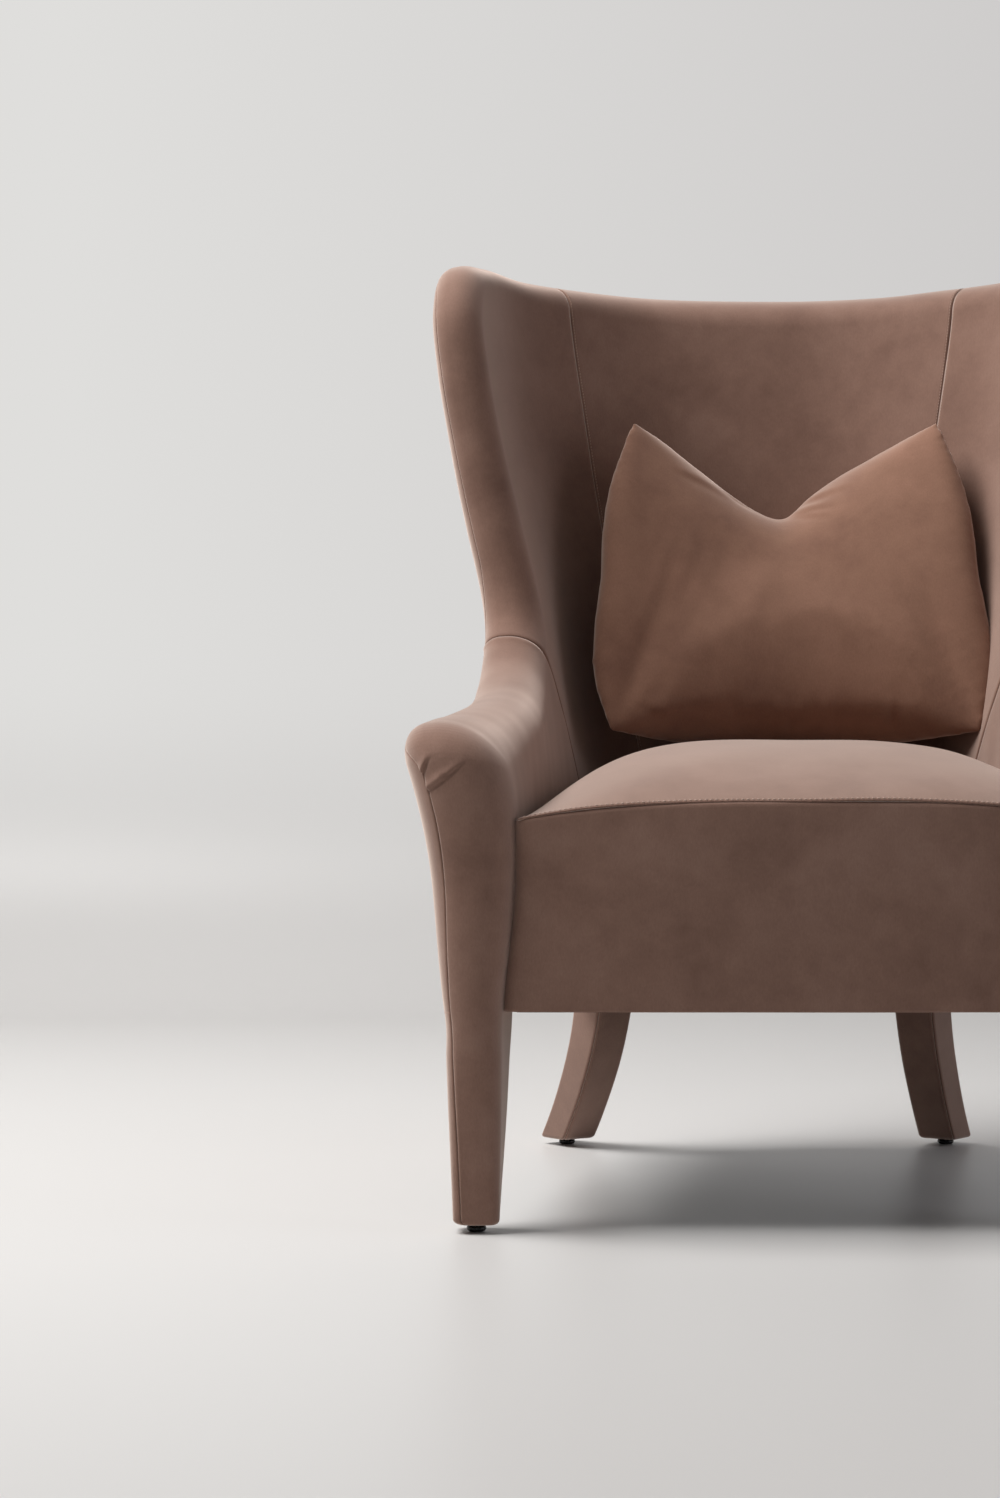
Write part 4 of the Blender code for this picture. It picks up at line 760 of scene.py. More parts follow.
class Cuts:
    """The cutting pattern: which part of the wall each piece of velvet covers."""

    # How far columns bow out on their way, and how much closer together they lie near the edge
    BULGE, DECK_SHARE, ROW_SHARE = 0.4, 1.3, 1.25
    # Where the seams end, as shares of the run along the deck and along the free edge
    ARM_SEAM_FOOT, BACK_SEAM_FOOT, REAR_FOOT = 0.555, 0.800, 0.762
    ARM_SEAM_EDGE, BACK_SEAM_EDGE = 0.94, 0.750
    # Inner side of the arm front
    FACE_RUN = 0.048
    # How far round the edge the welt lies, down the front, over the arm and along the wing
    FRONT_WELT, SIDE_WELT, WING_WELT = 0.0056, 0.0200, 0.0064
    # Sheets lie over each other by this much at a seam, so that no slit shows
    SEAM = -0.0002
    # Rows over the rolled edge
    ARM_ROLLS, WING_ROLLS, BACK_ROLLS = 44, 34, 26

    def __init__(self, wall: Wall) -> None:
        """Finds where the seams meet the wall's free edge."""
        self.wall = wall
        self.start = wall.length_where(1, wall.RAIL_Z, 0)
        self.corner = wall.length_where(1, wall.ARM_TOP_Z - wall.ARM_CORNER, 0)
        self.corner_end = wall.length_where(0, wall.ARM_CORNER, self.corner)
        waist = wall.ARM_TOP_Z + self.ARM_SEAM_EDGE * (wall.WAIST_Z - wall.ARM_TOP_Z)
        self.arm_end = wall.length_where(1, waist, self.corner)
        self.back_seam = wall.length_where(0, self.BACK_SEAM_EDGE * wall.RUN, self.arm_end)
        self.top = wall.length_where(1, 0.98 * wall.CREST_Z, self.arm_end)
        self.centre = wall.length_where(0, wall.RUN, self.back_seam)
        self.seam_foot = np.array((self.ARM_SEAM_FOOT * wall.RUN, wall.DECK_Z))
        self.back_foot = np.array((self.BACK_SEAM_FOOT * wall.RUN, wall.DECK_Z))
        self.rear_run = self.REAR_FOOT * wall.RUN

    def welt(self, lengths: np.ndarray) -> np.ndarray:
        """How far round the outer side of the edge the welt seam lies, at distances along the edge."""
        turn = self.corner + (self.corner_end - self.corner) * 0.6
        places = (self.corner, turn, self.arm_end - 0.02, self.arm_end + 0.10, self.top - 0.05, self.top + 0.10)
        widths = (self.FRONT_WELT, self.SIDE_WELT, self.SIDE_WELT, self.WING_WELT, self.WING_WELT, self.SIDE_WELT)
        lengths = np.asarray(lengths)
        k = np.clip(np.searchsorted(places, lengths) - 1, 0, len(places) - 2)
        places, widths = np.array(places), np.array(widths)
        share = np.clip((lengths - places[k]) / (places[k + 1] - places[k]), 0, 1)
        return widths[k] + (widths[k + 1] - widths[k]) * smooth(share)

    @staticmethod
    def turned(rolls: int) -> int:
        """How many of a piece's first rows lie on the outer face."""
        return rolls // 2 - 1

    def rows(self, lengths: np.ndarray, base: np.ndarray, rolls: int, inner: int, outer: bool = False,
             strict: np.ndarray = 1.0) -> np.ndarray:
        """Pattern points in rows from the welt seam to `base`, one column for each length.

        Args:
            lengths: Distances along the free edge.
            base: The pattern point that each column ends at.
            rolls: How many rows go over the rolled edge.
            inner: How many rows lie between the roll and the base.
            outer: Whether this is a piece of the outer face.
            strict: 1 where a column keeps the line of a seam, less where it may run straighter.

        Returns:
            Rows by columns by two.
        """
        wall = self.wall
        edge, into = wall.edge_at(lengths)
        welt = self.welt(lengths)[:, None]
        room = 0.8 * ((base - edge) * into).sum(axis=1)
        strict = np.broadcast_to(strict, len(edge))
        radius = (np.clip(room, 2 * MM, wall.middle(edge)[1]) * (0.5 + 0.5 * strict))[:, None]
        if outer:
            rows = [edge + into * (welt + self.SEAM)]
        else:
            rows = [edge + into * welt * s for s in np.linspace(1, 0, self.turned(rolls) + 1)[:-1]]
            rows += [edge + into * radius * (1 - math.cos(a)) for a in np.linspace(0, math.pi / 2, rolls)]
        first = rows[-1]
        bulge = (0 if outer else self.BULGE) * (0.2 + 0.8 * strict)
        reach = (bulge * np.linalg.norm(base - first, axis=1))[:, None]
        for t in (np.arange(1, inner + 1) / inner) ** self.ROW_SHARE:
            begin, lift, end = 2 * t**3 - 3 * t**2 + 1, t**3 - 2 * t**2 + t, 3 * t**2 - 2 * t**3
            rows.append(begin * first + lift * reach * into + end * base)
        return np.stack(rows)

    def arm(self) -> np.ndarray:
        """Inside arm and arm front, one piece of cloth."""
        wall = self.wall
        face = np.linspace(self.start, self.corner, 5)[:-1]
        over = np.linspace(self.corner, self.corner_end, 4)[:-1]
        lengths = np.concatenate([face, over, np.linspace(self.corner_end, self.arm_end, 8)])
        heights = wall.edge_at(face)[0][:, 1]
        base = [(self.FACE_RUN, min(z, wall.DECK_Z)) for z in heights[heights < wall.DECK_Z]]
        spread = np.linspace(0, 1, len(lengths) - len(base))[:, None] ** self.DECK_SHARE
        deck = (1 - spread) * (self.FACE_RUN, wall.DECK_Z) + spread * self.seam_foot
        base = np.concatenate([base, deck])
        dense = np.concatenate([
            np.linspace(self.start, self.corner, 110)[:-1], np.linspace(self.corner, self.corner_end, 84)[:-1],
            np.linspace(self.corner_end, self.arm_end - self.SEAM, 110),
        ])
        ends = np.stack([np.interp(dense, lengths, base[:, k]) for k in (0, 1)], axis=1)
        strict = np.clip((dense - self.arm_end) / (self.arm_end - self.corner_end) + 1, 0, 1) ** 3
        return self.rows(dense, ends, self.ARM_ROLLS, 50, strict=strict)

    def wing(self) -> np.ndarray:
        """Inside wing."""
        lengths = np.linspace(self.arm_end + self.SEAM, self.back_seam - self.SEAM, 200)
        base = np.linspace(self.seam_foot, self.back_foot, 200)
        return self.rows(lengths, base, self.WING_ROLLS, 84, strict=np.abs(np.linspace(-1, 1, 200)) ** 6)

    def back(self) -> np.ndarray:
        """Inside back, from seam to seam."""
        run = 2 * self.wall.RUN
        lengths = np.linspace(self.back_seam + self.SEAM, 2 * self.centre - self.back_seam - self.SEAM, 190)
        base = np.stack([np.linspace(self.back_foot[0], run - self.back_foot[0], 190),
                         np.full(190, self.wall.DECK_Z)], axis=1)
        return self.rows(lengths, base, self.BACK_ROLLS, 120)

    def outside(self) -> np.ndarray:
        """Outside arm and wing, one piece of cloth."""
        wall = self.wall
        coarse = np.concatenate([
            np.linspace(self.corner, self.corner_end, 4)[:-1], np.linspace(self.corner_end, self.arm_end, 8)[:-1],
            np.linspace(self.arm_end, self.back_seam, 14),
        ])
        arm_share = np.clip(wall.edge_at(coarse)[0][:, 0] / wall.WING_RUN, 0, 1)
        fan = (np.arange(len(coarse)) / (len(coarse) - 1)) ** 2
        first, last = self.FRONT_WELT, self.rear_run
        runs = first + (last - first) * (arm_share * wall.WING_RUN / self.rear_run * (1 - fan) + fan)
        dense = np.concatenate([
            np.linspace(self.corner, self.corner_end, 30)[:-1], np.linspace(self.corner_end, self.arm_end, 60)[:-1],
            np.linspace(self.arm_end, self.back_seam - self.SEAM, 90),
        ])
        base = np.stack([np.interp(dense, coarse, runs), np.full(len(dense), wall.RAIL_Z)], axis=1)
        pattern = self.rows(dense, base, 0, 110, outer=True)
        front = wall.edge[wall.length <= self.corner]
        line = np.interp(pattern[:, 0, 1], front[:, 1], front[:, 0]) + self.FRONT_WELT + self.SEAM
        fade = np.clip(1 - np.arange(len(dense)) / 40, 0, 1) ** 2
        pattern[..., 0] += (line - pattern[:, 0, 0])[:, None] * fade
        return pattern

    def outside_back(self) -> np.ndarray:
        """Outside back."""
        run = 2 * self.wall.RUN
        lengths = np.linspace(self.back_seam + self.SEAM, 2 * self.centre - self.back_seam - self.SEAM, 150)
        base = np.stack([np.linspace(self.rear_run, run - self.rear_run, 150),
                         np.full(150, self.wall.RAIL_Z)], axis=1)
        return self.rows(lengths, base, 0, 110, outer=True)


@dataclass
class Leg:
    """One kind of velvet leg: an outline that changes with height, and the seam that runs down it."""

    foot_z: float = 0.008
    rounding: float = 0.006
    hem: float = 0.009
    levels: int = 84

    def outline(self, at: np.ndarray, z: float) -> np.ndarray:
        """Places round the leg. The outline has twelve spans, three to a corner."""
        raise NotImplementedError

    def seam(self, z: float) -> float:
        """Where on the outline the seam lies."""
        raise NotImplementedError

    def square(self, corners: np.ndarray, radius: float, at: np.ndarray) -> np.ndarray:
        """Places round four corners, each rounded over two spans, with one span between corners."""
        k, part = (at % 12 // 3).astype(int), (at % 3)[:, None]
        before, here, after = corners[k - 1], corners[k], corners[(k + 1) % 4]
        back, forth = unit(before - here), unit(after - here)
        turn = np.clip(part / 2, 0, 1) * math.pi / 2
        round_it = here + radius * (back + forth) - radius * (np.cos(turn) * forth + np.sin(turn) * back)
        begin, end = here + radius * forth, after - radius * forth
        return np.where(part <= 2, round_it, begin + (end - begin) * (part - 2))

    def grid(self, shares: np.ndarray, top: float) -> tuple:
        """Places and outward directions, by shares round the leg from its seam and by height.

        Args:
            shares: Shares of the way round, from 0 to 1.
            top: Height of the last column.

        Returns:
            Two arrays, shares by heights by three. The first columns turn in under the foot.
        """
        low = self.foot_z
        columns = []
        for draw, lift in ((self.rounding + self.hem, 0.0), (self.rounding, 0.0), *(
                (self.rounding * (1 - math.sin(a)), self.rounding * (1 - math.cos(a)))
                for a in np.linspace(0, math.pi / 2, 9)[1:])):
            line = self.outline(self.seam(low + lift) + 12 * shares, low + lift)
            middle = line.mean(axis=0)
            reach = np.linalg.norm((line - middle)[:, :2], axis=1).min()
            columns.append(middle + (line - middle) * (1 - draw / reach, 1 - draw / reach, 1))
        for z in np.linspace(low + self.rounding, top, self.levels)[1:]:
            columns.append(self.outline(self.seam(z) + 12 * shares, z))
        places = np.array(columns).swapaxes(0, 1)
        away = (places - places.mean(axis=0, keepdims=True)) * (1, 1, 0.2)
        return places, grid_normals(places, away)


@dataclass
class FrontLeg(Leg):
    """The front leg, which runs on from the arm front. All sizes are for the left one."""

    wall: Wall = None
    x: float = 0.3405
    half: float = 0.0235
    depth: float = 0.0460
    top_depth: float = 0.0720
    corner: float = 0.0100
    chamfer: float = 0.0060
    setback: float = 0.0020
    ease: float = 0.0480
    run_shares: tuple = (-1, -0.915, -0.34, -0.14, -0.035, 0.035, 0.14, 0.34, 0.915, 1)
    foot_seam: float = 4.82

    @property
    def foot(self) -> tuple:
        """Middle of the foot."""
        return self.x, -self.wall.HALF_DEPTH + self.setback + self.depth / 2

    def seam(self, z: float) -> float:
        """Where on the outline the welt seam lies."""
        top = self.at_run(-Cuts.FRONT_WELT)
        return self.foot_seam + (top - self.foot_seam) * np.clip(z / self.wall.RAIL_Z, 0, 1)

    def at_run(self, run: np.ndarray) -> np.ndarray:
        """Where on the outline a run of the wall's pattern comes."""
        return np.interp(np.asarray(run) / self.top_depth, self.run_shares[1:-1], np.arange(2, 10))

    def arm_outline(self, at: np.ndarray, z: float) -> np.ndarray:
        """The arm's own outline, closed across the back with cut corners."""
        at = at % 12
        runs = self.top_depth * np.interp(np.clip(at, 2, 9), np.arange(2, 10), self.run_shares[1:-1])
        runs = np.concatenate([runs, self.top_depth * np.array((-1, -0.915, 0.915, 1))])
        places = self.wall.skin(np.stack([runs, np.full(len(runs), z)], axis=1))
        start, left, right, end = places[-4:]
        across = unit(end - start)
        begin, finish = start + across * self.chamfer, end - across * self.chamfer
        key = np.array([begin, (begin + left) / 4 + start / 2, left, right,
                        (finish + right) / 4 + end / 2, finish, begin])
        behind = (at < 2) | (at > 9)
        flat = np.stack([np.interp(at, (0, 1, 2, 9, 10, 11, 12), key[:, k]) for k in range(3)], axis=1)
        return np.where(behind[:, None], flat, places[:-4])

    def outline(self, at: np.ndarray, z: float) -> np.ndarray:
        """Places round the leg at a height, leaving the arm on its own line."""
        x, y = -self.x, -self.wall.HALF_DEPTH + self.setback
        corners = np.array([(x - self.half, y + self.depth, 0), (x - self.half, y, 0),
                            (x + self.half, y, 0), (x + self.half, y + self.depth, 0)])
        top = self.wall.RAIL_Z
        t = (z - self.foot_z) / (top - self.foot_z)
        straight = self.square(corners, self.corner, at) * (1 - t) + self.arm_outline(at, top) * t
        near = smooth(np.clip((z - top + self.ease) / self.ease, 0, 1))
        places = straight if near == 0 else straight * (1 - near) + self.arm_outline(at, z) * near
        places[:, 2] = z
        return places


@dataclass
class RearLeg(Leg):
    """The rear leg, turned and curved outwards. All sizes are for the left one."""

    foot: tuple = (0.2340, 0.3060)
    top: tuple = (0.1900, 0.2130)
    top_z: float = 0.220
    half: float = 0.0265
    turn: float = 36.0
    bend: float = 1.75
    foot_share: float = 0.94
    corner: float = 0.0060
    corner_at: float = 10.0
    rounding: float = 0.0045

    def seam(self, z: float) -> float:
        """The seam runs down the foremost corner."""
        return self.corner_at

    def outline(self, at: np.ndarray, z: float) -> np.ndarray:
        """Places round the leg at a height."""
        t = (z - self.foot_z) / (self.top_z - self.foot_z)
        top, foot = np.array((-self.top[0], self.top[1])), np.array((-self.foot[0], self.foot[1]))
        centre = top + (foot - top) * (1 - t) ** self.bend
        half = self.half * (self.foot_share + (1 - self.foot_share) * t)
        turn = math.radians(self.turn)
        along = np.array([math.cos(turn), math.sin(turn)]) * half
        out = np.array([-math.sin(turn), math.cos(turn)]) * half
        corners = [centre - along + out, centre + along + out, centre + along - out, centre - along - out]
        return self.square(np.array([(*c, z) for c in corners]), self.corner, at)


@dataclass
class Upholstery:
    """Velvet of the arms, wings, back and legs."""

    cuts: Cuts
    velvet: Material
    thread: Material
    nylon: Material
    hem_depth: float = 1.3 * MM
    hem_width: float = 2.6 * MM
    soft: Ripple = Ripple(0.6 * MM, (0.09, 0.07, 0.09), 5.9)
    rear_leg: RearLeg = field(default_factory=RearLeg)
    pleats: tuple = (
        ((-0.3965, -0.3850, 0.4560), (-0.3905, -0.3864, 0.4679), (-0.3860, -0.3875, 0.4768)),
        ((-0.3886, -0.3855, 0.4412), (-0.3785, -0.3922, 0.4486), (-0.3685, -0.3953, 0.4560),
         (-0.3596, -0.3956, 0.4634), (-0.3497, -0.3943, 0.4704)),
    )

    def build(self) -> None:
        """Makes every panel of the wall and the legs, on both sides."""
        for side in Side:
            self.arm_and_leg(side)
            self.inside_wing(side)
            self.outside_panel(side)
            self.rear_cover(side)
            self.glide(f"front_glide_{side.word}", side, self.front_leg.foot)
            self.glide(f"rear_glide_{side.word}", side, self.rear_leg.foot)
        self.inside_back()
        self.outside_back()

    @property
    def front_leg(self) -> FrontLeg:
        """The front leg under this wall."""
        return FrontLeg(wall=self.cuts.wall)

    def sewn(self, grid: tuple, reliefs: list, sides: str) -> tuple:
        """A grid with its relief, turned down into its seams."""
        places = relieved(*grid, reliefs)
        return hemmed(places, grid[1], sides, self.hem_depth, self.hem_width), grid[1]

    def sheet(self, pattern: np.ndarray, outer: int) -> tuple:
        """A sewn sheet of the wall, with its first `outer` rows on the outer face."""
        return self.sewn(self.cuts.wall.grid(pattern, outer), [self.soft], "faz")

    def panel(self, name: str, side: Side, nodes: tuple, *sheets: tuple, weld: bool = False) -> Object:
        """One piece of velvet, mirrored to its side, with its thickness."""
        turned = [(side.of(places), side.of(normals)) for places, normals in sheets]
        return dress(thicken(cloth(name, *turned, weld=weld)), self.velvet, nodes)

    def arm_and_leg(self, side: Side) -> None:
        """Inside arm, arm front and front leg in one piece of cloth, with two pleats at the arm's tip."""
        wall, leg = self.cuts.wall, self.front_leg
        pattern = self.cuts.arm()
        turned = self.cuts.turned(self.cuts.ARM_ROLLS)
        at = leg.at_run(pattern[:, 0, 0] * np.where(np.arange(len(pattern)) < turned, -1, 1))
        shares = (at - at[0]) / 12
        shares = np.concatenate([shares, np.linspace(shares[-1], 1, 70)[1:]])
        soft = [Ripple(0.25 * MM, (0.05, 0.022, 0.03), 3.1), self.soft]
        folds = [Fold(line, lift=2.8 * MM, wide=6.5 * MM, drop=1.2 * MM, narrow=2.2 * MM, taper=(0.0, 0.6))
                 for line in self.pleats]
        grid = wall.grid(pattern, turned)
        seam = grid[0][:, -1][::-1]
        folds.append(Fold(tuple(map(tuple, seam[-60:])), lift=1.6 * MM, wide=7 * MM, drop=0, taper=(0.5, 0.0)))
        arm, out = self.sewn(grid, soft + folds, "fz")
        cover, around = self.sewn(leg.grid(shares, wall.RAIL_Z), soft[1:], "fl")
        cover[:len(at), -1] = arm[:, 0]
        name = side.word
        piece = self.panel(f"arm_upholstery_{name}", side,
                           (f"inside_arm_{name}", f"arm_pad_{name}", f"front_leg_cover_{name}"),
                           (arm, out), (cover, around), weld=True)

    def rear_cover(self, side: Side) -> None:
        """A rear leg's velvet."""
        grid = self.rear_leg.grid(np.linspace(0, 1, 130), self.cuts.wall.RAIL_Z)
        sheet = self.sewn(grid, [Ripple(0.5 * MM, (0.05, 0.05, 0.06), 4.4)], "fl")
        self.panel(f"rear_leg_velvet_{side.word}", side, (f"rear_leg_cover_{side.word}",), sheet, weld=True)

    def inside_wing(self, side: Side) -> None:
        """Inside wing with the rolled front edge."""
        places, normals = self.sheet(self.cuts.wing(), self.cuts.turned(self.cuts.WING_ROLLS))
        piece = self.panel(f"wing_upholstery_{side.word}", side,
                           (f"inside_wing_{side.word}", f"wing_pad_{side.word}"), (places, normals))
        self.topstitch(f"wing_seam_stitches_{side.word}", side, places, normals)

    def topstitch(self, name: str, side: Side, places: np.ndarray, normals: np.ndarray) -> None:
        """A row of stitches beside the seam at the last column of a sheet."""
        seen = slice(6, -20)
        line = line_inside(places, 1, True, 3.0 * MM)[seen]
        out = line_inside(normals, 1, True, 0)[seen]
        Stitching(pitch=3.6 * MM, length=2.9 * MM, width=0.8 * MM).sew(name, side.of(line), side.of(out), self.thread)

    def inside_back(self) -> None:
        """Inside back between its two curved seams."""
        sheet = self.sheet(self.cuts.back(), self.cuts.turned(self.cuts.BACK_ROLLS))
        piece = self.panel("back_upholstery", Side.LEFT, ("inside_back", "back_pad"), sheet)
        for side in Side:
            places, normals = (table[:, ::side.value] for table in sheet)
            self.topstitch(f"back_seam_stitches_{side.word}", Side.LEFT, places, normals)

    def outside_panel(self, side: Side) -> None:
        """Outside arm and wing."""
        pattern = self.cuts.outside()
        sheet = self.sheet(pattern, len(pattern))
        self.panel(f"outside_velvet_{side.word}", side, (f"outside_panel_{side.word}",), sheet)

    def outside_back(self) -> None:
        """Outside back."""
        pattern = self.cuts.outside_back()
        sheet = self.sheet(pattern, len(pattern))
        self.panel("outside_back_velvet", Side.LEFT, ("outside_back",), sheet)

    def glide(self, node: str, side: Side, at: tuple) -> None:
        """A domed glide, turned from its profile."""
        profile = ((0, 0), (0.0052, 0), (0.0068, 0.0002), (0.0088, 0.0012), (0.0100, 0.0030), (0.0098, 0.0048),
                   (0.0085, 0.0066), (0.0072, 0.0082), (0.0072, 0.0104), (0, 0.0104))
        made = bmesh.new()
        verts = [made.verts.new((r, 0, z)) for r, z in profile]
        edges = [made.edges.new(pair) for pair in zip(verts, verts[1:])]
        bmesh.ops.spin(made, geom=verts + edges, cent=(0, 0, 0), axis=(0, 0, 1), angle=2 * math.pi, steps=48,
                       use_merge=True)
        bmesh.ops.remove_doubles(made, verts=made.verts, dist=0.01 * MM)
        bmesh.ops.recalc_face_normals(made, faces=made.faces)
        bmesh.ops.translate(made, verts=made.verts, vec=(side.value * at[0], at[1], 0))
        dress(finished(f"{node}_dome", made), self.nylon, (node,))


@dataclass
class Seat:
    """The tight seat: its crowned top and the front border."""

    wall: Wall
    velvet: Material
    thread: Material
    front_y: float = -0.3790
    bow: float = 0.0090
    turned: float = 0.0120
    seam_drop: float = 0.0180
    crown: float = 0.0640
    crown_y: float = -0.1000
    crown_share: float = 4.0
    fall: float = 0.62
    side_start: float = 0.0260
    back_corner: float = 0.6050
    inset: float = 0.0010
    skirt: float = 0.0260
    tuck: float = 0.01
    swell: float = 3.0 * MM
    flare: float = 4.0 * MM
    across: int = 210
    deep: int = 150

    def shares(self) -> tuple:
        """Shares across and to the back, closer together near the edges."""
        even = np.linspace(-1, 1, self.across)
        u = 0.5 + 0.5 * np.sign(even) * (1 - (1 - np.abs(even)) ** 1.3)
        v = np.linspace(0, 1, self.deep) ** 1.25
        return u, v

    def line(self, first: float, last: float, shares: np.ndarray, z: float, inset: float) -> np.ndarray:
        """Plan points along the inner face of the wall."""
        runs = first + (last - first) * shares
        middle, half, inward = self.wall.middle(np.stack([runs, np.full(len(runs), z)], axis=1))
        return (middle + (half + inset)[:, None] * inward)[:, :2]

    def front(self, half: float, start_y: float, u: np.ndarray) -> np.ndarray:
        """The bowed front outline, with its corners turned back."""
        share = 2 * u - 1
        x = share * half
        y = self.front_y - self.bow * (1 - share**2)
        turn = np.clip((np.abs(x) - half + self.turned) / self.turned, 0, 1)
        y += (start_y - self.front_y) * (1 - np.sqrt(1 - turn**2))
        return np.stack([x, y], axis=1)

    def plan(self) -> np.ndarray:
        """Plan points over the whole seat."""
        u, v = self.shares()
        z = self.wall.DECK_Z
        left = self.line(self.side_start, self.back_corner, v, z, self.inset)
        back = self.line(self.back_corner, 2 * self.wall.RUN - self.back_corner, u, z, self.inset)
        front = self.front(-left[0, 0], left[0, 1], u)
        left[0] = front[0]
        right = left * (-1, 1)
        a, b = u[None, :, None], v[:, None, None]
        patch = (1 - b) * front[None] + b * back[None] + (1 - a) * left[:, None] + a * right[:, None]
        patch -= (1 - a) * (1 - b) * front[0] + a * (1 - b) * front[-1] + (1 - a) * b * back[0] + a * b * back[-1]
        return patch

    def seam_z(self, u: np.ndarray) -> np.ndarray:
        """Height of the sewn front edge."""
        return self.wall.SEAM_Z - self.seam_drop * np.abs(2 * u - 1) ** 3

    def build(self) -> None:
        """Makes the top and the border."""
        u, v = self.shares()
        plan = self.plan()
        side = np.abs(2 * u - 1)[None, :]
        top = (self.crown_y - self.front_y) / (plan[-1, len(u) // 2, 1] - self.front_y)
        share = v[:, None]
        rise = np.where(share < top, 1 - (1 - share / top).clip(0) ** 2.4,
                        1 - self.fall * ((share - top) / (1 - top)) ** 2)
        height = self.wall.SEAM_Z - self.seam_drop * side**3 * (1 - share)
        height = height + self.crown * (1 - side**self.crown_share) * rise
        tucked = np.clip(1 - np.minimum(np.minimum(u, 1 - u)[None, :], 1 - share) / self.tuck, 0, 1)
        height = height - self.skirt * np.where(share > 0.02, tucked, 0)
        places = np.dstack([plan, height])
        normals = grid_normals(places, (0, 0, 1))
        places = relieved(places, normals, [Ripple(0.9 * MM, (0.10, 0.08, 0.1), 11.0)])
        places = hemmed(places, normals, "f", 1.2 * MM, 4 * MM)
        piece = thicken(cloth("seat_upholstery", (places, normals)))
        dress(piece, self.velvet, ("seat_cover", "seat_foam"))
        line = line_inside(places, 0, False, 3.0 * MM)
        heavy = Stitching(pitch=5.2 * MM, length=3.7 * MM, width=1.8 * MM, height=1.6 * MM)
        heavy.sew("seat_seam_stitches", line[4:-4], normals[4, 4:-4], self.thread)
        self.border()

    def border(self) -> None:
        """The front border, from the seam to under the rail, turned back at its ends beside the arms."""
        wall = self.wall
        u = np.linspace(0, 1, 200)
        rows = []
        for t in np.linspace(0, 1, 64):
            z = wall.RAIL_Z - MM + (wall.SEAM_Z - wall.RAIL_Z) * t
            start = self.line(self.side_start, self.side_start, np.zeros(1), min(z, wall.DECK_Z), 1.5 * MM)[0]
            line = self.front(-start[0], start[1] + self.flare, u)
            line[:, 1] -= 4 * self.swell * t * (1 - t) * (1 - np.abs(2 * u - 1) ** 6)
            high = wall.RAIL_Z + (self.seam_z(u) - wall.RAIL_Z - 0.4 * MM) * t
            row = np.column_stack([line, high])
            ends = np.array([(self.flare, s, 0) for s in (0.024, 0.006)])
            rows.append(np.concatenate([row[0] + ends * (-1, 1, 1), row, row[-1] + ends[::-1]]))
        places = np.array(rows)
        normals = grid_normals(places, (0, -1, 0))
        places = relieved(places, normals, [Ripple(0.8 * MM, (0.11, 0.1, 0.08), 13.0)])
        places = hemmed(places, normals, "l", 2.0 * MM, 4 * MM)
        piece = thicken(cloth("front_border_velvet", (places, normals)))
        dress(piece, self.velvet, ("seat_front_border",))


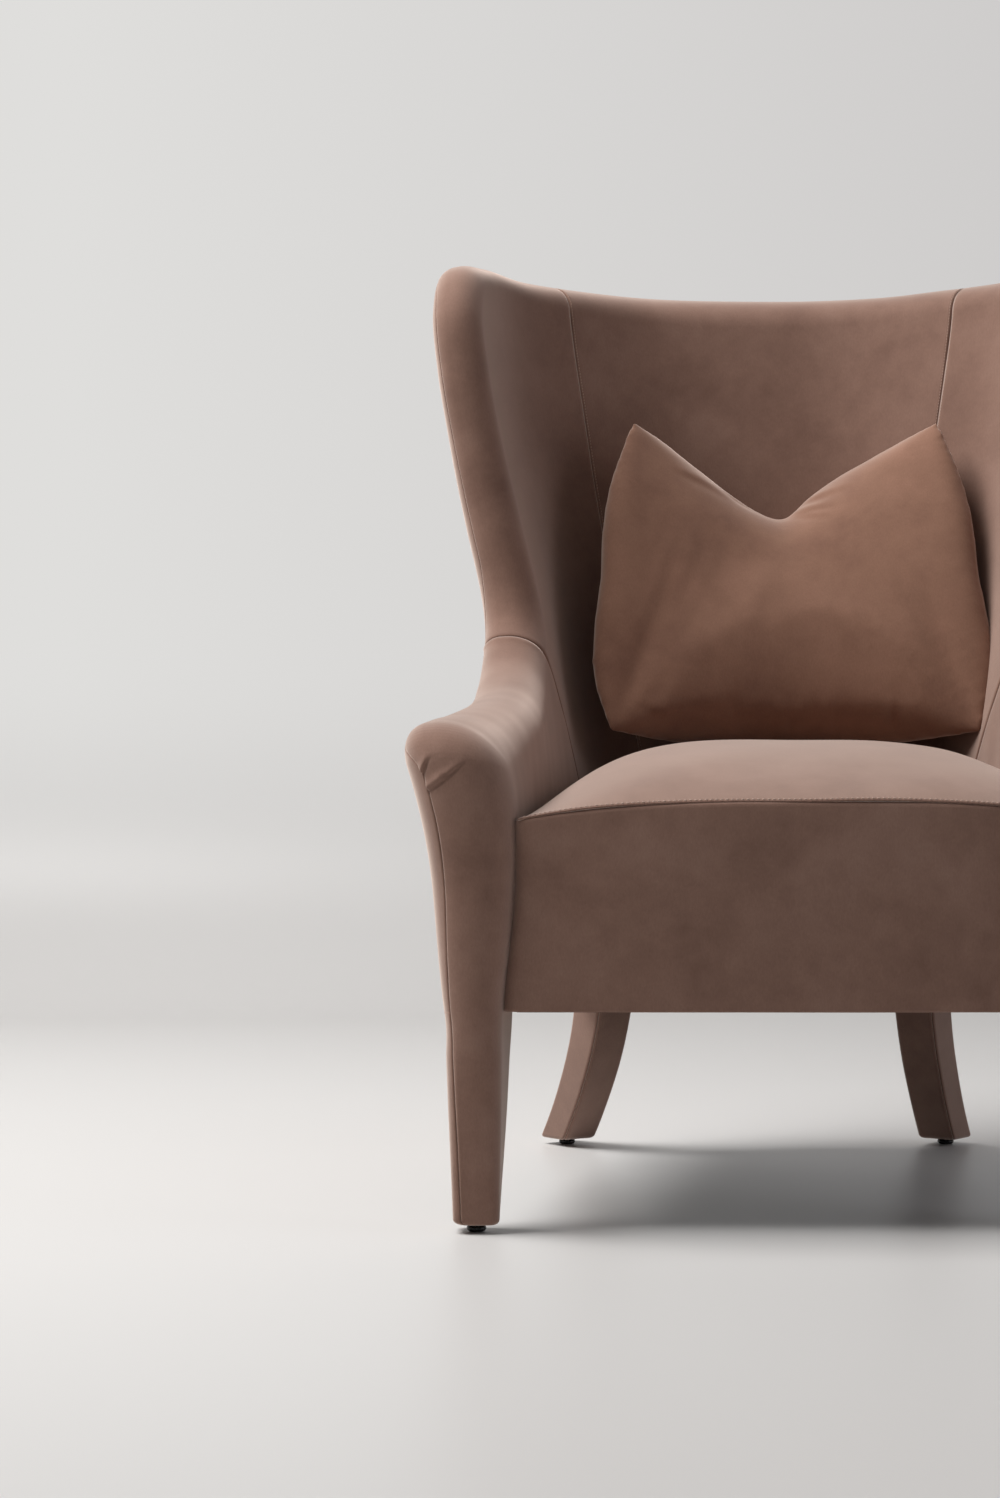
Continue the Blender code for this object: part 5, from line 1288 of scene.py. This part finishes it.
@dataclass
class ScatterCushion:
    """The loose square cushion with its chopped top edge, filled with down."""

    velvet: Material
    half_width: float = 0.2300
    half_height: float = 0.1995
    half_thick: float = 0.0720
    centre: tuple = (0.0235, 0.2016, 0.6690)
    lean: float = -18.0
    curl: float = 0.0800
    chop: float = 0.1010
    knots: tuple = (-1.0, -0.70, 0.0, 0.45, 1.0)
    widths: tuple = (0.94, 1.01, 0.975, 0.94, 0.80)
    top_edge: tuple = ((-1.0, 0.0), (-0.82, 0.13), (-0.52, 0.46), (-0.21, 0.86), (-0.08, 0.97), (0.02, 1.0),
                       (0.08, 0.90), (0.20, 0.68), (0.34, 0.50), (0.55, 0.31), (0.80, 0.12), (1.0, 0.0))
    rows: int = 96
    voxel: float = 0.0048
    start_share: float = 0.84
    pressure: float = 4.0
    frames: int = 20
    cap: float = 0.0150
    proud: float = 0.0070
    calm: int = 20
    creases: tuple = (
        (((0.03, 0.98), (0.16, 0.82), (0.30, 0.70)), 3.2, 9.0),
        (((0.05, 0.93), (0.16, 0.74), (0.27, 0.62)), 2.6, 8.0),
        (((0.10, 0.99), (0.24, 0.88), (0.42, 0.80)), 2.4, 10.0),
        (((-0.70, 0.80), (-0.50, 0.84), (-0.28, 0.88)), 2.2, 10.0),
        (((-0.42, 0.92), (-0.28, 0.93), (-0.10, 0.95)), 2.0, 7.0),
        (((-0.02, -0.97), (-0.03, -0.70)), 1.6, 8.0), (((0.21, -0.95), (0.20, -0.70)), 1.6, 9.0),
        (((0.56, -0.95), (0.50, -0.72)), 1.8, 9.0), (((-0.80, -0.80), (-0.68, -0.85), (-0.52, -0.84)), 2.6, 12.0),
    )

    def place(self, p: np.ndarray, q: np.ndarray, out: np.ndarray) -> np.ndarray:
        """Cushion shares and offsets out of its middle sheet, set in the chair."""
        half = self.half_width * (knot_weights(self.knots, q.ravel()) @ np.array(self.widths)).reshape(q.shape)
        line = np.array(self.top_edge)
        drop = (knot_weights(line[:, 0], p.ravel()) @ line[:, 1]).reshape(p.shape)
        sag = self.chop * drop * ((1 + q) / 2) ** 2
        lean = math.radians(self.lean)
        up = q * self.half_height - sag
        y = out - self.curl * p**2
        return np.stack([
            self.centre[0] + p * half,
            self.centre[1] + y * math.cos(lean) - up * math.sin(lean),
            self.centre[2] + y * math.sin(lean) + up * math.cos(lean),
        ], axis=-1)

    def fill(self, p: np.ndarray, q: np.ndarray) -> np.ndarray:
        """Share of the full thickness."""
        return ((1 - np.abs(p) ** 2.2).clip(0) * (1 - np.abs(q) ** 2.2).clip(0)) ** 0.5

    def form(self, thick: float) -> BMesh:
        """The closed form: a front and a back sheet joined at a knife edge."""
        line = np.sin(np.linspace(-1, 1, self.rows) * math.pi / 2 * 0.94) / math.sin(math.pi / 2 * 0.94)
        p, q = np.meshgrid(line, line)
        made = bmesh.new()
        edge = (np.abs(p) > 0.9999) | (np.abs(q) > 0.9999)
        rim = self.place(p, q, np.zeros_like(p))
        for side in (-1, 1):
            places = self.place(p, q, side * (thick * self.fill(p, q) + 0.0006))
            places[edge] = rim[edge]
            add_sheet(made, places, (0, side, 0))
        bmesh.ops.remove_doubles(made, verts=made.verts, dist=0.02 * MM)
        bmesh.ops.recalc_face_normals(made, faces=made.faces)
        return made

    def even(self, piece: Object) -> None:
        """Gives the piece an even mesh of small squares."""
        net = piece.modifiers.new("net", "REMESH")
        net.mode = "VOXEL"
        net.voxel_size = self.voxel
        apply_all(piece)

    def swell(self, piece: Object) -> None:
        """Blows the cover up from inside as cloth, with its corners and the chopped middle held."""
        held = self.place(np.array((-1.0, 1.0, -1.0, 1.0, 0.0)), np.array((1.0, 1.0, -1.0, -1.0, 1.0)), np.zeros(5))
        start = points_of(piece)
        gap = np.linalg.norm(start[:, None] - held[None], axis=2)
        pins = piece.vertex_groups.new(name="pins")
        pins.add(np.unique(np.argsort(gap, axis=0)[:16]).tolist(), 1.0, "REPLACE")
        sim = piece.modifiers.new("cover", "CLOTH")
        sim.settings.use_pressure = True
        sim.settings.uniform_pressure_force = self.pressure
        sim.settings.vertex_group_mass = "pins"
        sim.settings.effector_weights.gravity = 0.0
        sim.settings.bending_stiffness = 0.4
        sim.point_cache.frame_start, sim.point_cache.frame_end = 1, self.frames
        scene = bpy.context.scene
        for number in range(1, self.frames + 1):
            scene.frame_set(number)
        apply_all(piece)
        scene.frame_set(1)
        moved = points_of(piece) - start
        far = np.linalg.norm(moved, axis=1, keepdims=True)
        set_points(piece, start + moved * np.minimum(1, self.cap / np.maximum(far, 1e-9)))
        calm = piece.modifiers.new("calm", "SMOOTH")
        calm.factor, calm.iterations = 0.5, self.calm
        apply_all(piece)

    def settle(self, piece: Object) -> None:
        """Keeps the cover out of the seat and the chair's back, and near its own form elsewhere."""
        limit = self.form(self.half_thick)
        tree = BVHTree.FromBMesh(limit)
        limit.free()
        places = []
        for point in points_of(piece):
            near, normal, _, _ = tree.find_nearest(Vector(point))
            free = min((0.25 - normal.y) / 0.3, (normal.z + 0.85) / 0.6)
            room = self.proud * min(max(free, 0.0), 1.0)
            over = (Vector(point) - near).dot(normal)
            places.append(near + normal * room if over > room else point)
        set_points(piece, np.array(places))

    def build(self) -> None:
        """Makes the cushion as one closed piece."""
        piece = finished("scatter_cushion", self.form(self.half_thick * self.start_share))
        self.even(piece)
        self.swell(piece)
        self.settle(piece)
        normals = np.empty(len(piece.data.vertices) * 3)
        piece.data.vertex_normals.foreach_get("vector", normals)
        soft = [Ripple(0.8 * MM, (0.06, 0.06, 0.05), 8.0), *self.folds()]
        set_points(piece, relieved(points_of(piece), normals.reshape(-1, 3), soft))
        smooth = piece.modifiers.new("smooth", "SUBSURF")
        smooth.levels = smooth.render_levels = 1
        dress(piece, self.velvet,
              ("cushion_cover_front", "cushion_cover_back", "cushion_filling"), CUSHION)

    def folds(self) -> list:
        """The creases on the front, from their shares across and up."""
        made = []
        for points, lift, wide in self.creases:
            p, q = np.array(points, float).T
            line = self.place(p, q, -self.half_thick * self.fill(p, q))
            made.append(Fold(line, lift=lift * MM, wide=wide * MM, drop=0.4 * lift * MM, narrow=0.8 * wide * MM,
                             taper=(0.4, 0.6)))
        return made


@dataclass
class Studio:
    """Floor, backdrop, lights and camera."""

    wall_y: float = 2.6
    curve: float = 0.5
    near_y: float = -6.0
    high: float = 6.0
    half_wide: float = 7.0
    eye: tuple = (-0.317, -3.219, 0.456)
    lens_mm: float = 68.5
    shift: float = 0.0174

    def build(self) -> None:
        """Makes the whole setting."""
        self.backdrop()
        self.lights()
        self.camera()

    def paint(self) -> Material:
        """White eggshell wall paint and floor lacquer: matt, with a faint soft reflection.

        The wall shows the camera a glowing pale colour, with painted shade that darkens it towards the right, so that
        no extra light is needed on the chair.
        """
        made, tree, shader, place = start_material("eggshell_paint")
        set_values(shader, {"Base Color": linear("#d4d3d2"), "Roughness": 0.40, "Specular IOR Level": 0.30})
        axes = add_node(tree, "ShaderNodeSeparateXYZ", links={"Vector": place})
        wall = add_node(tree, "ShaderNodeMapRange", {"interpolation_type": "SMOOTHSTEP", "From Max": 0.7},
                        {"Value": axes.outputs["Z"]})
        rays = add_node(tree, "ShaderNodeLightPath")
        seen = add_node(tree, "ShaderNodeMath", {"operation": "ADD", "use_clamp": True},
                        {0: rays.outputs["Is Camera Ray"], 1: rays.outputs["Is Glossy Ray"]})
        seen = add_node(tree, "ShaderNodeMath", {"operation": "ADD", "use_clamp": True},
                        {0: seen.outputs[0], 1: rays.outputs["Is Transmission Ray"]})
        share = add_node(tree, "ShaderNodeMath", {"operation": "MULTIPLY"},
                         {0: wall.outputs["Result"], 1: seen.outputs[0]})
        # Painted shade: the wall's glow runs from a paler grey on the left to a darker grey on the right
        across = add_node(tree, "ShaderNodeMapRange", {"From Min": -1.2, "From Max": 0.7}, {"Value": axes.outputs["X"]})
        painted_falloff = add_node(tree, "ShaderNodeMix", {"data_type": "RGBA", 6: linear("#dfdedc"), 7: linear("#cfcdcc")},
                        {0: across.outputs["Result"]})
        pale = add_node(tree, "ShaderNodeEmission", {"Strength": 1.0}, {"Color": painted_falloff.outputs[2]})
        mix = add_node(tree, "ShaderNodeMixShader",
                       links={0: share.outputs[0], 1: shader.outputs[0], 2: pale.outputs[0]})
        # Seen from behind or from below the sweep is clear, so that the chair's back and underside stay in sight
        facing = add_node(tree, "ShaderNodeNewGeometry")
        clear = add_node(tree, "ShaderNodeBsdfTransparent")
        one_sided = add_node(tree, "ShaderNodeMixShader",
                             links={0: facing.outputs["Backfacing"], 1: mix.outputs[0], 2: clear.outputs[0]})
        tree.links.new(one_sided.outputs[0], tree.nodes["Material Output"].inputs["Surface"])
        return made

    def backdrop(self) -> None:
        """A pale floor that curves up into a pale wall."""
        radius, foot = self.curve, self.wall_y - self.curve
        profile = [(self.near_y, 0.0), (foot, 0.0)]
        profile += [(foot + radius * math.sin(a), radius - radius * math.cos(a))
                    for a in np.linspace(0, math.pi / 2, 13)[1:]]
        profile.append((self.wall_y, self.high))
        places = np.array([[(x, y, z) for x in (-self.half_wide, self.half_wide)] for y, z in profile])
        floor = cloth("studio_sweep", (places, (0, -0.5, 1)))
        floor.data.materials.append(self.paint())

    def lights(self) -> None:
        """A soft key from high on the left and a weak fill from the right."""
        for name, place, aim, size, power, colour in (
            ("key_light", (-2.05, -0.24, 3.42), (0.0, 0.0, 0.5), 2.1, 186.0, "#fffdfb"),
            ("fill_light", (3.6, -1.0, 1.5), (0.0, 0.0, 0.5), 2.4, 28.0, "#f8f8ff"),
        ):
            data = bpy.data.lights.new(name, "AREA")
            data.size = size
            data.energy = power
            data.color = linear(colour)[:3]
            lamp = bpy.data.objects.new(name, data)
            lamp.location = place
            lamp.rotation_mode = "QUATERNION"
            lamp.rotation_quaternion = (Vector(aim) - Vector(place)).to_track_quat("-Z", "Y")
            bpy.context.scene.collection.objects.link(lamp)
        world = bpy.data.worlds.new("studio_air")
        world.use_nodes = True
        bpy.context.scene.world = world
        set_values(world.node_tree.nodes["Background"], {"Color": linear("#eceded"), "Strength": 0.11})

    def camera(self) -> None:
        """A level camera at the photograph's place."""
        data = bpy.data.cameras.new("camera")
        data.lens, data.sensor_width, data.shift_y = self.lens_mm, 36.0, self.shift
        eye = bpy.data.objects.new("camera", data)
        eye.location = self.eye
        eye.rotation_euler = (math.radians(90), 0, 0)
        bpy.context.scene.collection.objects.link(eye)
        bpy.context.scene.camera = eye


def finish_frame() -> None:
    """Gives the CAD nodes that stay, under the cloth and below the seat, their real materials."""
    looks = {
        "beech": Beech().make(),
        "foam": Cellular("polyurethane_foam", ((0.1, "#c9bd8c"), (0.6, "#e6dcb4"))).make(),
        "wadding": Cellular("polyester_wadding", ((0.1, "#d2d1c9"), (0.6, "#efeee8")), cell_mm=4.0).make(),
        "jute": PlainWeave("jute_burlap", ((0.0, "#6b5534"), (0.7, "#a98d62"))).make(),
        "webbing": PlainWeave("rubber_webbing", ((0.0, "#33291e"), (0.7, "#5c4f3f")), thread_mm=3.0).make(),
        "felt": PlainWeave("polypropylene_felt", ((0.0, "#0b0b0c"), (0.7, "#1b1b1d")), thread_mm=1.4).make(),
        "spring": Steel("spring_steel_oiled", ((0.3, "#6d6e71"), (0.7, "#75777a")), roughness=0.42).make(),
        "screw": Steel("zinc_plated_steel", ((0.3, "#6d6e71"), (0.7, "#a8aab0")), roughness=0.3).make(),
    }
    kinds = (("spring", "spring"), ("webbing", "webbing"), ("burlap", "jute"), ("foam", "foam"), ("pad", "wadding"),
             ("filling", "wadding"), ("screw", "screw"), ("dust", "felt"), ("rail", "beech"), ("post", "beech"),
             ("block", "beech"), ("rear_leg_left", "beech"), ("rear_leg_right", "beech"), ("frame", "beech"))
    for name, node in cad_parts.items():
        for word, look in kinds:
            if word in name and not name.startswith("outside_panel"):
                for place in node.material_slots:
                    place.material = looks[look]
                break


def main() -> None:
    """Builds the chair, the cushion and the studio."""
    logging.basicConfig(level=logging.INFO, format="%(message)s")
    bpy.context.scene.view_settings.view_transform = "Standard"
    wall = Wall()
    velvet = Velvet("velvet_cotton_pile").make()
    cushion = Velvet("velvet_cushion", pile="#8c6856", raised="#956f5d", pressed="#815e4e").make()
    thread = Thread().make()
    Studio().build()
    finish_frame()
    Upholstery(Cuts(wall), velvet, thread, Nylon().make()).build()
    Seat(wall, velvet, thread).build()
    ScatterCushion(cushion).build()
    for name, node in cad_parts.items():
        if not node.hide_render:
            LOG.info("kept %s", name)


if __name__ == "__main__":
    main()
